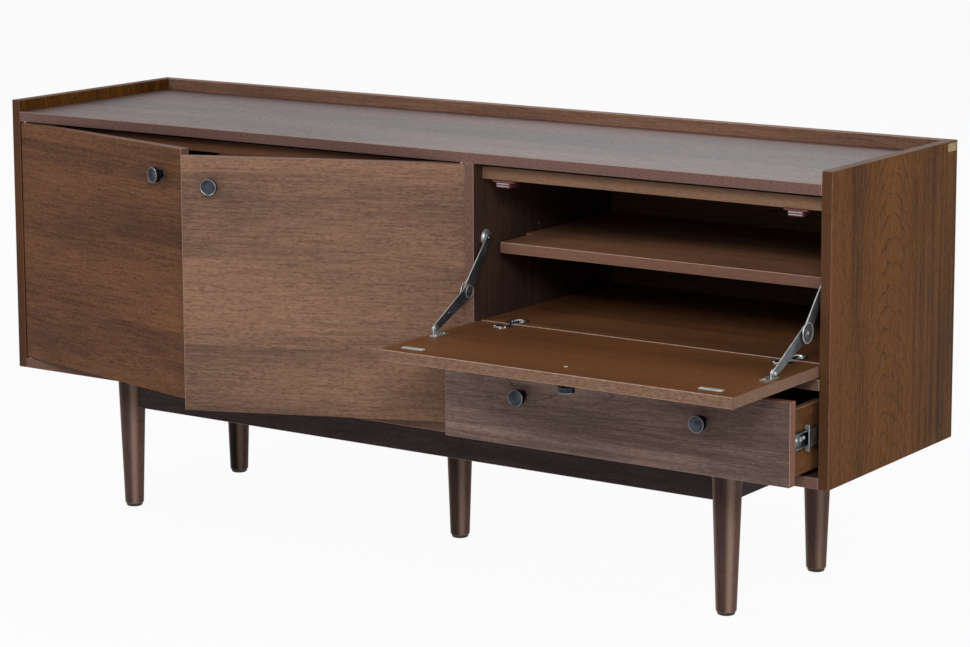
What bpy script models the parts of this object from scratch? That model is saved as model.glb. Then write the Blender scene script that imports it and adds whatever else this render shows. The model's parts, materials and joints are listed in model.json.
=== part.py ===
"""Sideboard: a veneered case with two doors, a drop flap and a drawer, on a frame with five turned legs.

X runs along the width, the front faces -Y and Z is up. The origin is on the floor under the centre leg.
Each leaf and the drawer is drawn shut. Its parent empty, on the joint's axis, then turns or slides it
to the pose in which the sideboard stands: doors ajar, flap down and drawer pulled out a little.
"""
import math

import bmesh
import bpy
from mathutils import Matrix, Vector

for old_object in list(bpy.data.objects):
    bpy.data.objects.remove(old_object)


# Driving sizes of the case
case_width = 1.700
case_depth = 0.440
case_height = 0.502
case_raise = 0.250
board = 0.018
gallery_rise = 0.021
gallery_in_top = 0.003
door_bay_width = 0.997
back_thickness = 0.006
rebate_lap = 0.008
arris = 0.0008
seat_gap = 0.0003

# Rails, floor and shelves
rail_thickness = 0.021
rail_depth = 0.060
rail_drop = 0.007
rail_setback = 0.026
drawer_rail_depth = 0.060
shelf_level = 0.128
shelf_setback = 0.057
shelf_end_gap = 0.001
shelf_notch_width = 0.0155
shelf_notch_depth = 0.100
pin_radius = 0.0025
pin_in_wall = 0.009
pin_in_bay = 0.009
pin_row_front = -0.023
pin_row_back = 0.150
pin_hole_pitch = 0.032

# Leaves
leaf = 0.018
leaf_gap = 0.0025
flap_side_gap = 0.0015
flap_foot_gap = 0.002
door_round = 0.002
flap_round = 0.005
left_door_ajar = math.radians(13.6)
right_door_ajar = math.radians(21.7)
flap_down = math.radians(90)
drawer_pulled = 0.088

# Door pivots
pivot_from_edge = 0.006
pivot_from_face = 0.0065
pivot_pin_radius = 0.002
pivot_pin_in_case = 0.010
pivot_pin_in_door = 0.009
pivot_collar_radius = 0.0036

# Flap pivots, with the flap shut
flap_pivot_up = 0.00825
flap_pivot_in = 0.00675
flap_swing_gap = 0.0007
hinge_inset = 0.062
hinge_eye_radius = 0.004
hinge_arm_width = 0.009
hinge_side_play = 0.0005
hinge_pin_radius = 0.0015
hinge_cup_radius = 0.0175
hinge_cup_depth = 0.0115
hinge_cup_setback = 0.0205
hinge_block_width = 0.034
hinge_block_reach = 0.018
hinge_block_skin = 0.0022

# Flap stays; offsets from a side wall, and places in height and depth
stay_wall_pivot_in = 0.035
stay_wall_pivot_level = 0.138
stay_flap_pivot_along = 0.13325
stay_flap_pivot_off = 0.010
stay_upper_length = 0.1035
stay_lower_length = 0.108
stay_plate = 0.002
stay_end_radius = 0.0065
stay_elbow_radius = 0.0125
stay_disc_radius = 0.0165
stay_elbow_cap_radius = 0.0105
stay_stud_radius = 0.0035
stay_wall_boss_radius = 0.0135
stay_cap_depth = 0.0016
stay_upper_plane = 0.006
stay_plane_gap = 0.0005
stay_foot_length = 0.034
stay_foot_width = 0.015

# Drawer and its slides
drawer_front_height = 0.134
drawer_box_height = 0.1065
drawer_box_rise = 0.0095
drawer_box_depth = 0.360
drawer_wall = 0.012
drawer_bottom_thickness = 0.006
drawer_bottom_rise = 0.010
groove_depth = 0.006
slide_space = 0.0127
slide_height = 0.032
slide_metal = 0.0012
slide_play = 0.0006
slide_length = 0.350
slide_start_gap = 0.004
slide_level = 0.0665

# Knobs and catches
knob_drop = 0.049
door_knob_inset = 0.055
drawer_knob_spacing = 0.337
knob_head_radius = 0.0135
knob_neck_radius = 0.0060
knob_projection = 0.0222
knob_head_depth = 0.0085
knob_dish = 0.0014
knob_rim = 0.0022
screw_radius = 0.002
screw_in_knob = 0.008
screw_head_radius = 0.0042
screw_head_depth = 0.0024
catch_width = 0.036
catch_height = 0.011
catch_depth = 0.020
catch_left_inset = 0.046
catch_right_inset = 0.056
strike_thickness = 0.0012

# Leg frame
leg_side_inset = 0.218
leg_front_inset = 0.068
leg_back_inset = 0.063
leg_top_radius = 0.0255
leg_foot_radius = 0.01725
leg_foot_chamfer = 0.004
glide_radius = 0.009
glide_height = 0.0045
apron_height = 0.060
apron_thickness = 0.020
apron_peg_drop = 0.018
apron_peg_step = 0.022
bolt_radius = 0.004
bolt_in_case = 0.012

# Pegs that hold the boards and aprons together
peg_radius = 0.004
peg_in_face = 0.010
peg_in_end = 0.018
peg_end_room = 0.0005
peg_inset = 0.055

# Facets of turned work
leg_facets = 24
knob_facets = 20
small_facets = 12
peg_facets = 8

# How far a cutting shape runs past what it cuts
cut_over = 0.010


# Places that follow from the driving sizes
case_left = -case_width / 2
case_right = case_width / 2
front = -case_depth / 2
back = case_depth / 2
case_bottom = case_raise
case_top = case_bottom + case_height
inner_left = case_left + board
inner_right = case_right - board
slab_top = case_top - gallery_rise
slab_bottom = slab_top - board
bottom_top = case_bottom + board
back_face = back - back_thickness
divider_left = inner_left + door_bay_width
divider_right = divider_left + board
leaf_back = front + leaf
leaf_top = slab_bottom - leaf_gap
leaf_foot = bottom_top + leaf_gap

drawer_front_top = leaf_foot + drawer_front_height
drawer_rail_bottom = drawer_front_top + leaf_gap
drawer_rail_top = drawer_rail_bottom + board
flap_foot = drawer_rail_top + flap_foot_gap
flap_pivot_y = front + flap_pivot_in
flap_pivot_z = flap_foot + flap_pivot_up
flap_left = divider_right + flap_side_gap
flap_right = inner_right - flap_side_gap
flap_inner_reach = leaf - flap_pivot_in
floor_level = flap_pivot_z + flap_inner_reach
flap_corner_sweep = flap_round + math.hypot(flap_inner_reach - flap_round, flap_pivot_up - flap_round)
floor_front = flap_pivot_y + flap_corner_sweep + flap_swing_gap

rail_top = slab_bottom - rail_drop
rail_bottom = rail_top - rail_thickness
rail_front = front + rail_setback
shelf_top = floor_level + shelf_level
shelf_bottom = shelf_top - board
shelf_front = front + shelf_setback
pin_level = shelf_bottom - pin_radius * 0.8
door_width = (door_bay_width - 3 * leaf_gap) / 2
door_middle = inner_left + door_bay_width / 2
flap_middle = (divider_right + inner_right) / 2
leg_x = case_width / 2 - leg_side_inset
leg_front_y = front + leg_front_inset
leg_back_y = back - leg_back_inset
apron_top = case_bottom - seat_gap
apron_bottom = apron_top - apron_height
leg_top = case_bottom - seat_gap
catch_top = rail_bottom - seat_gap
catch_front = leaf_back + strike_thickness + 2 * seat_gap


def finish(name, colour, roughness, metallic=0.0):
    """A plain Principled surface."""
    surface = bpy.data.materials.new(name)
    surface.use_nodes = True
    shader = surface.node_tree.nodes["Principled BSDF"]
    shader.inputs["Base Color"].default_value = (*colour, 1.0)
    shader.inputs["Roughness"].default_value = roughness
    shader.inputs["Metallic"].default_value = metallic
    surface.diffuse_color = (*colour, 1.0)
    return surface


oak_side = finish("oak_side", (0.138, 0.066, 0.030), 0.50)
oak_front = finish("oak_front", (0.155, 0.083, 0.052), 0.48)
oak_top = finish("oak_top", (0.150, 0.088, 0.065), 0.42)
oak_inside = finish("oak_inside", (0.100, 0.045, 0.020), 0.55)
oak_frame = finish("oak_frame", (0.075, 0.050, 0.042), 0.50)
drawer_wood = finish("drawer_wood", (0.165, 0.070, 0.028), 0.50)
gunmetal = finish("gunmetal", (0.028, 0.032, 0.040), 0.32, 0.85)
zinc = finish("zinc", (0.520, 0.530, 0.560), 0.30, 1.0)
bronze_steel = finish("bronze_steel", (0.200, 0.185, 0.175), 0.34, 1.0)
magnet_brown = finish("magnet_brown", (0.180, 0.055, 0.040), 0.45)


def joint_empty(name, place):
    """An empty on a joint's axis, which carries the pieces of one moving body."""
    empty = bpy.data.objects.new(name, None)
    empty.location = place
    bpy.context.scene.collection.objects.link(empty)
    return empty


door_level = (leaf_foot + leaf_top) / 2
left_pivot_x = inner_left + leaf_gap + pivot_from_edge
right_pivot_x = divider_left - leaf_gap - pivot_from_edge
door_pivot_y = front + pivot_from_face
left_door_axis = joint_empty("left_door_axis", (left_pivot_x, door_pivot_y, door_level))
right_door_axis = joint_empty("right_door_axis", (right_pivot_x, door_pivot_y, door_level))
flap_axis = joint_empty("flap_axis", (flap_middle, flap_pivot_y, flap_pivot_z))
drawer_run = joint_empty("drawer_run", (flap_middle, front, leaf_foot))
slide_run = joint_empty("slide_run", (flap_middle, front, leaf_foot))


def place_piece(name, mesh, material, carrier=None):
    """Link a mesh drawn in the shut sideboard's coordinates, carried by an empty if it moves."""
    mesh.materials.append(material)
    piece = bpy.data.objects.new(name, mesh)
    bpy.context.scene.collection.objects.link(piece)
    if carrier is not None:
        piece.parent = carrier
        piece.location = -carrier.location
    return piece


def mesh_of(shape, name):
    """Turn bmesh work into a mesh whose faces point outwards."""
    bmesh.ops.recalc_face_normals(shape, faces=shape.faces)
    mesh = bpy.data.meshes.new(name)
    shape.to_mesh(mesh)
    shape.free()
    return mesh


def add_box(shape, low, high):
    """Add a box between two corners."""
    size = Vector(high) - Vector(low)
    middle = (Vector(high) + Vector(low)) / 2
    frame = Matrix.Translation(middle) @ Matrix.Diagonal((*size, 1.0))
    bmesh.ops.create_cube(shape, size=1.0, matrix=frame)


def add_rod(shape, start, end, radius, facets):
    """Add a rod between two points."""
    along = Vector(end) - Vector(start)
    middle = (Vector(end) + Vector(start)) / 2
    turn = along.to_track_quat("Z", "Y").to_matrix().to_4x4()
    bmesh.ops.create_cone(
        shape, cap_ends=True, segments=facets, radius1=radius, radius2=radius,
        depth=along.length, matrix=Matrix.Translation(middle) @ turn)


def add_turned(shape, profile, facets, frame=Matrix.Identity(4)):
    """Add a turned solid: profile lists (radius, height), from one end on the axis to the other."""
    rings = []
    for radius, height in profile:
        if radius == 0:
            rings.append([shape.verts.new(frame @ Vector((0, 0, height)))])
            continue
        ring = []
        for step in range(facets):
            turn = 2 * math.pi * step / facets
            place = Vector((radius * math.cos(turn), radius * math.sin(turn), height))
            ring.append(shape.verts.new(frame @ place))
        rings.append(ring)
    for lower, upper in zip(rings, rings[1:]):
        for step in range(facets):
            after = (step + 1) % facets
            corners = [lower[step % len(lower)], lower[after % len(lower)],
                       upper[after % len(upper)], upper[step % len(upper)]]
            shape.faces.new(list(dict.fromkeys(corners)))


def add_prism(shape, outline, axis, start, end):
    """Add an extruded outline. The outline's pairs are the two coordinates other than axis, in X, Y, Z order."""
    def corner(pair, along):
        place = list(pair)
        place.insert(axis, along)
        return place
    near = [shape.verts.new(corner(pair, start)) for pair in outline]
    far = [shape.verts.new(corner(pair, end)) for pair in outline]
    shape.faces.new(near)
    shape.faces.new(list(reversed(far)))
    for step in range(len(outline)):
        after = (step + 1) % len(outline)
        shape.faces.new((near[step], near[after], far[after], far[step]))


def arc(centre, radius, first, last, steps):
    """Points along an arc, angles in degrees."""
    points = []
    for step in range(steps + 1):
        turn = math.radians(first + (last - first) * step / steps)
        points.append((centre[0] + radius * math.cos(turn), centre[1] + radius * math.sin(turn)))
    return points


def soften(piece, width=arris):
    """Take the arris off a board's edges."""
    edge = piece.modifiers.new("arris", "BEVEL")
    edge.width = width
    edge.segments = 1
    edge.limit_method = "ANGLE"
    edge.angle_limit = math.radians(40)
    return piece


def board_piece(name, low, high, material, carrier=None):
    """A board between two corners, with softened edges."""
    shape = bmesh.new()
    add_box(shape, low, high)
    return soften(place_piece(name, mesh_of(shape, name), material, carrier))


def combine(piece, name, shape, operation, carrier=None):
    """Join a tool shape to a piece, or cut it away."""
    tool = place_piece(name, mesh_of(shape, name), zinc, carrier)
    tool.hide_render = True
    tool.display_type = "WIRE"
    change = piece.modifiers.new(name, "BOOLEAN")
    change.operation = operation
    change.object = tool
    change.solver = "EXACT"


def smooth(piece):
    """Shade a round piece smooth between its sharp edges."""
    piece.data.shade_smooth()
    piece.data.set_sharp_from_angle(angle=math.radians(35))
    return piece


# Pegs are glued into one piece and stand in bores in its neighbour. Both are gathered here and made at the end.
bores = {}
studs = {}


def bore(name, start, end, radius, facets=peg_facets):
    """Note a bore for a piece."""
    bores.setdefault(name, []).append((start, end, radius, facets))


def peg(face_piece, end_piece, mouth, towards):
    """A peg across a butt joint: mouth is where the joint lies, towards points into the end piece."""
    mouth = Vector(mouth)
    into_face = mouth - Vector(towards) * peg_in_face
    into_end = mouth + Vector(towards) * peg_in_end
    room = Vector(towards) * peg_end_room
    studs.setdefault(end_piece, []).append((into_face, into_end, peg_radius, peg_facets))
    bore(face_piece, into_face - room, mouth + Vector(towards) * cut_over, peg_radius + seat_gap)


# Case: sides, bottom, top, divider and back
side_rebate_low = bottom_top - rebate_lap
side_rebate_high = slab_bottom + rebate_lap
for side_name, outer_x, inner_x, lap_x in (
        ("side_panel_left", case_left, inner_left, inner_left - rebate_lap),
        ("side_panel_right", case_right, inner_right, inner_right + rebate_lap)):
    low_x = min(outer_x, inner_x)
    high_x = max(outer_x, inner_x)
    side = board_piece(side_name, (low_x, front, case_bottom), (high_x, back, case_top), oak_side)
    rebate = bmesh.new()
    towards_bay = math.copysign(cut_over, inner_x - outer_x)
    rebate_low_x = min(lap_x, inner_x + towards_bay)
    rebate_high_x = max(lap_x, inner_x + towards_bay)
    add_box(rebate, (rebate_low_x, back_face - seat_gap, side_rebate_low),
            (rebate_high_x, back + cut_over, side_rebate_high))
    combine(side, side_name + "_rebate", rebate, "DIFFERENCE")

bottom_panel = board_piece(
    "bottom_panel", (inner_left + seat_gap, front, case_bottom),
    (inner_right - seat_gap, back, bottom_top), oak_side)
bottom_rebate = bmesh.new()
add_box(bottom_rebate, (case_left, back_face - seat_gap, side_rebate_low),
        (case_right, back + cut_over, bottom_top + cut_over))
combine(bottom_panel, "bottom_rebate", bottom_rebate, "DIFFERENCE")

top_panel = board_piece(
    "top_panel", (inner_left + seat_gap, front, slab_bottom),
    (inner_right - seat_gap, back, slab_top), oak_top)
top_rebate = bmesh.new()
add_box(top_rebate, (case_left, back_face - seat_gap, slab_bottom - cut_over),
        (case_right, back + cut_over, side_rebate_high))
combine(top_panel, "top_rebate", top_rebate, "DIFFERENCE")

# The rail along the back edge stands in a shallow rebate in the top panel
gallery_front = back - board
gallery_foot = slab_top - gallery_in_top
gallery_rebate = bmesh.new()
add_box(gallery_rebate, (case_left, gallery_front - seat_gap, gallery_foot),
        (case_right, back + cut_over, slab_top + cut_over))
combine(top_panel, "gallery_rebate", gallery_rebate, "DIFFERENCE")
board_piece(
    "gallery_back_rail", (inner_left + seat_gap, gallery_front, gallery_foot + seat_gap),
    (inner_right - seat_gap, back, case_top), oak_side)

board_piece(
    "divider", (divider_left, front, bottom_top + seat_gap),
    (divider_right, back_face - 2 * seat_gap, slab_bottom - seat_gap), oak_front)

board_piece(
    "back_panel",
    (inner_left - rebate_lap + seat_gap, back_face, side_rebate_low + seat_gap),
    (inner_right + rebate_lap - seat_gap, back, side_rebate_high - seat_gap), oak_inside)

# Rails behind the leaves, the drawer rail and the flap compartment's floor
board_piece(
    "upper_rail_left", (inner_left + seat_gap, rail_front, rail_bottom),
    (divider_left - seat_gap, rail_front + rail_depth, rail_top), oak_front)
board_piece(
    "upper_rail_right", (divider_right + seat_gap, rail_front, rail_bottom),
    (inner_right - seat_gap, rail_front + rail_depth, rail_top), oak_front)
board_piece(
    "drawer_rail", (divider_right + seat_gap, front, drawer_rail_bottom),
    (inner_right - seat_gap, front + drawer_rail_depth, drawer_rail_top), oak_side)
compartment_floor = board_piece(
    "compartment_floor", (divider_right + seat_gap, floor_front, floor_level - board),
    (inner_right - seat_gap, back_face - 2 * seat_gap, floor_level), oak_inside)

# Shelves on pins; the right one is notched for the folding stays
shelf_back = back_face - 2 * seat_gap
board_piece(
    "shelf_left", (inner_left + shelf_end_gap, shelf_front, shelf_bottom),
    (divider_left - shelf_end_gap, shelf_back, shelf_top), oak_inside)
shelf_right = board_piece(
    "shelf_right", (divider_right + shelf_end_gap, shelf_front, shelf_bottom),
    (inner_right - shelf_end_gap, shelf_back, shelf_top), oak_inside)
notches = bmesh.new()
for wall_x, towards in ((divider_right, 1), (inner_right, -1)):
    near_x = wall_x - towards * cut_over / 2
    far_x = wall_x + towards * shelf_notch_width
    add_box(notches, (min(near_x, far_x), shelf_front - cut_over, shelf_bottom - cut_over),
            (max(near_x, far_x), shelf_front + shelf_notch_depth, shelf_top + cut_over))
combine(shelf_right, "stay_notches", notches, "DIFFERENCE")

for shelf_name, wall_name, wall_x, towards, spare_holes in (
        ("shelf_left", "side_panel_left", inner_left, 1, False),
        ("shelf_left", "divider", divider_left, -1, False),
        ("shelf_right", "divider", divider_right, 1, True),
        ("shelf_right", "side_panel_right", inner_right, -1, True)):
    for row_y in (pin_row_front, pin_row_back):
        pin_end_x = wall_x - towards * pin_in_wall
        studs.setdefault(shelf_name, []).append(
            ((pin_end_x, row_y, pin_level), (wall_x + towards * pin_in_bay, row_y, pin_level),
             pin_radius, peg_facets))
        for level in (-1, 0, 1) if spare_holes else (0,):
            hole_z = pin_level + level * pin_hole_pitch
            bore(wall_name, (pin_end_x - towards * peg_end_room, row_y, hole_z),
                 (wall_x + towards * cut_over, row_y, hole_z), pin_radius + seat_gap)

# Pegs between the boards
peg_front = front + peg_inset
peg_back = back - peg_inset
for side_name, face_x, towards in (("side_panel_left", inner_left, 1), ("side_panel_right", inner_right, -1)):
    for peg_y in (peg_front, peg_back):
        peg(side_name, "bottom_panel", (face_x, peg_y, case_bottom + board / 2), (towards, 0, 0))
        peg(side_name, "top_panel", (face_x, peg_y, slab_bottom + board / 2), (towards, 0, 0))
    peg(side_name, "gallery_back_rail", (face_x, back - board / 2, slab_top + gallery_rise / 2), (towards, 0, 0))
divider_middle = (divider_left + divider_right) / 2
for peg_y in (peg_front, peg_back):
    peg("bottom_panel", "divider", (divider_middle, peg_y, bottom_top), (0, 0, 1))
    peg("top_panel", "divider", (divider_middle, peg_y, slab_bottom), (0, 0, -1))
rail_middle_y = rail_front + rail_depth / 2
rail_middle_z = (rail_bottom + rail_top) / 2
rail_peg_offset = rail_depth / 4
peg("side_panel_left", "upper_rail_left", (inner_left, rail_middle_y, rail_middle_z), (1, 0, 0))
peg("divider", "upper_rail_left", (divider_left, rail_middle_y - rail_peg_offset, rail_middle_z), (-1, 0, 0))
peg("divider", "upper_rail_right", (divider_right, rail_middle_y + rail_peg_offset, rail_middle_z), (1, 0, 0))
peg("side_panel_right", "upper_rail_right", (inner_right, rail_middle_y, rail_middle_z), (-1, 0, 0))
drawer_rail_peg = (front + drawer_rail_depth / 2, (drawer_rail_bottom + drawer_rail_top) / 2)
peg("divider", "drawer_rail", (divider_right, *drawer_rail_peg), (1, 0, 0))
peg("side_panel_right", "drawer_rail", (inner_right, *drawer_rail_peg), (-1, 0, 0))
for peg_y in (floor_front + peg_inset, peg_back):
    peg("divider", "compartment_floor", (divider_right, peg_y, floor_level - board / 2), (1, 0, 0))
    peg("side_panel_right", "compartment_floor", (inner_right, peg_y, floor_level - board / 2), (-1, 0, 0))

# Leg frame: turned legs on glides, each with a stud up into the case, and aprons scribed to them
leg_profile = [
    (0, 0),
    (glide_radius - glide_height / 4, 0),
    (glide_radius, glide_height / 4),
    (glide_radius, glide_height),
    (leg_foot_radius - leg_foot_chamfer, glide_height),
    (leg_foot_radius, glide_height + leg_foot_chamfer),
    (leg_top_radius, leg_top),
    (bolt_radius, leg_top),
    (bolt_radius, case_bottom + bolt_in_case),
    (0, case_bottom + bolt_in_case)]
leg_places = {
    "leg_front_left": (-leg_x, leg_front_y),
    "leg_front_right": (leg_x, leg_front_y),
    "leg_back_left": (-leg_x, leg_back_y),
    "leg_back_right": (leg_x, leg_back_y),
    "leg_centre": (0.0, 0.0)}
leg_room_profile = [
    (0, glide_height + leg_foot_chamfer),
    (leg_foot_radius + seat_gap, glide_height + leg_foot_chamfer),
    (leg_top_radius + seat_gap, leg_top),
    (leg_top_radius + seat_gap, leg_top + cut_over),
    (0, leg_top + cut_over)]
leg_room = bmesh.new()
for leg_name, (x, y) in leg_places.items():
    stand = Matrix.Translation((x, y, 0))
    leg_shape = bmesh.new()
    add_turned(leg_shape, leg_profile, leg_facets, stand)
    smooth(place_piece(leg_name, mesh_of(leg_shape, leg_name), oak_frame))
    add_turned(leg_room, leg_room_profile, leg_facets, stand)
    bore("bottom_panel", (x, y, case_bottom - cut_over), (x, y, case_bottom + bolt_in_case + peg_end_room),
         bolt_radius + seat_gap, leg_facets)
leg_room_tool = place_piece("leg_room", mesh_of(leg_room, "leg_room"), zinc)
leg_room_tool.hide_render = True
leg_room_tool.display_type = "WIRE"

apron_peg_high = apron_top - apron_peg_drop
apron_peg_low = apron_peg_high - apron_peg_step
apron_half = apron_thickness / 2


def leg_radius_at(height):
    """A leg's radius at a height above the floor."""
    taper_foot = glide_height + leg_foot_chamfer
    share = (height - taper_foot) / (leg_top - taper_foot)
    return leg_foot_radius + (leg_top_radius - leg_foot_radius) * share


def apron(name, low, high):
    """An apron between two legs, its ends scribed to them."""
    piece = board_piece(name, (low[0], low[1], apron_bottom), (high[0], high[1], apron_top), oak_frame)
    scribe = piece.modifiers.new("scribe", "BOOLEAN")
    scribe.operation = "DIFFERENCE"
    scribe.object = leg_room_tool
    scribe.solver = "EXACT"


overlap_at_leg = leg_foot_radius / 2
high_reach = leg_radius_at(apron_peg_high)
low_reach = leg_radius_at(apron_peg_low)
for row, y in (("front", leg_front_y), ("back", leg_back_y)):
    name = row + "_apron"
    apron(name, (-leg_x + overlap_at_leg, y - apron_half), (leg_x - overlap_at_leg, y + apron_half))
    peg("leg_" + row + "_left", name, (-leg_x + high_reach, y, apron_peg_high), (1, 0, 0))
    peg("leg_" + row + "_right", name, (leg_x - high_reach, y, apron_peg_high), (-1, 0, 0))
for side_name, x in (("left", -leg_x), ("right", leg_x)):
    name = "side_apron_" + side_name
    apron(name, (x - apron_half, leg_front_y + overlap_at_leg), (x + apron_half, leg_back_y - overlap_at_leg))
    peg("leg_front_" + side_name, name, (x, leg_front_y + low_reach, apron_peg_low), (0, 1, 0))
    peg("leg_back_" + side_name, name, (x, leg_back_y - low_reach, apron_peg_low), (0, -1, 0))

# Doors: each turns on two pins, one in its top edge and one in its bottom edge
def knob_profile():
    """A turned knob and the screw that holds it: (radius, distance from the leaf's face)."""
    head = knob_projection - knob_head_depth
    head_seat = -leaf - seat_gap
    return [
        (0, head_seat - screw_head_depth),
        (screw_head_radius * 0.8, head_seat - screw_head_depth),
        (screw_head_radius, head_seat - screw_head_depth * 0.6),
        (screw_head_radius, head_seat),
        (screw_radius, head_seat),
        (screw_radius, seat_gap),
        (knob_neck_radius + knob_rim / 2, seat_gap),
        (knob_neck_radius, knob_rim),
        (knob_neck_radius, head * 0.60),
        (knob_head_radius - knob_rim / 2, head),
        (knob_head_radius, head + knob_rim / 2),
        (knob_head_radius, knob_projection - knob_rim / 2),
        (knob_head_radius - knob_rim / 3, knob_projection),
        (knob_head_radius - knob_rim, knob_projection),
        (knob_head_radius - 1.5 * knob_rim, knob_projection - knob_dish),
        (0, knob_projection - knob_dish)]


def knob(name, leaf_name, x, z, carrier):
    """A knob on a leaf, its dished face outwards and its screw head inside."""
    frame = Matrix.Translation((x, front, z)) @ Matrix.Rotation(math.radians(90), 4, "X")
    shape = bmesh.new()
    add_turned(shape, knob_profile(), knob_facets, frame)
    smooth(place_piece(name, mesh_of(shape, name), gunmetal, carrier))
    bore(leaf_name, (x, front - cut_over, z), (x, leaf_back + cut_over, z), screw_radius + seat_gap)


def pivot_pin(name, pivot_x, case_name, case_face, into):
    """A pin fixed in the case: its collar fills the gap beside the leaf, and its end stands in the leaf."""
    profile = [
        (0, -into * pivot_pin_in_case),
        (pivot_pin_radius, -into * pivot_pin_in_case),
        (pivot_pin_radius, into * seat_gap),
        (pivot_collar_radius, into * seat_gap),
        (pivot_collar_radius, into * (leaf_gap - seat_gap)),
        (pivot_pin_radius, into * (leaf_gap - seat_gap)),
        (pivot_pin_radius, into * (leaf_gap + pivot_pin_in_door)),
        (0, into * (leaf_gap + pivot_pin_in_door))]
    shape = bmesh.new()
    add_turned(shape, profile, small_facets, Matrix.Translation((pivot_x, door_pivot_y, case_face)))
    smooth(place_piece(name, mesh_of(shape, name), zinc))
    bore(case_name, (pivot_x, door_pivot_y, case_face - into * (pivot_pin_in_case + peg_end_room)),
         (pivot_x, door_pivot_y, case_face + into * cut_over), pivot_pin_radius + seat_gap, small_facets)


def door(side_name, hinge_edge, towards, carrier, pivot_x):
    """A door with its pins and knob; towards is +1 where the hinge edge is on the left."""
    outline = arc((door_round, door_round), door_round, 180, 270, 4)
    outline += [(door_width - arris, 0), (door_width, arris)]
    outline += [(door_width, leaf - arris), (door_width - arris, leaf), (arris, leaf), (0, leaf - arris)]
    placed = [(hinge_edge + towards * u, front + v) for u, v in outline]
    shape = bmesh.new()
    add_prism(shape, placed, 2, leaf_foot, leaf_top)
    name = "door_panel_" + side_name
    place_piece(name, mesh_of(shape, name), oak_front, carrier)

    pivot_pin("pivot_pin_top_" + side_name, pivot_x, "top_panel", slab_bottom, -1)
    pivot_pin("pivot_pin_foot_" + side_name, pivot_x, "bottom_panel", bottom_top, 1)
    for edge_z, into in ((leaf_top, -1), (leaf_foot, 1)):
        bore(name, (pivot_x, door_pivot_y, edge_z - into * cut_over),
             (pivot_x, door_pivot_y, edge_z + into * (pivot_pin_in_door + peg_end_room)),
             pivot_pin_radius + seat_gap, small_facets)

    knob_x = hinge_edge + towards * (door_width - door_knob_inset)
    knob("knob_door_" + side_name, name, knob_x, leaf_top - knob_drop, carrier)


door("left", inner_left + leaf_gap, 1, left_door_axis, left_pivot_x)
door("right", divider_left - leaf_gap, -1, right_door_axis, right_pivot_x)

# Flap
flap_outline = [(front, leaf_top - arris), (front + arris, leaf_top),
                (leaf_back - arris, leaf_top), (leaf_back, leaf_top - arris)]
flap_outline += arc((leaf_back - flap_round, flap_foot + flap_round), flap_round, 0, -90, 5)
flap_outline += arc((front + flap_round, flap_foot + flap_round), flap_round, -90, -180, 5)
flap_shape = bmesh.new()
add_prism(flap_shape, flap_outline, 0, flap_left, flap_right)
flap_panel = place_piece("flap_panel", mesh_of(flap_shape, "flap_panel"), oak_front, flap_axis)
knob("knob_flap", "flap_panel", flap_middle, leaf_top - knob_drop, flap_axis)

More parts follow.
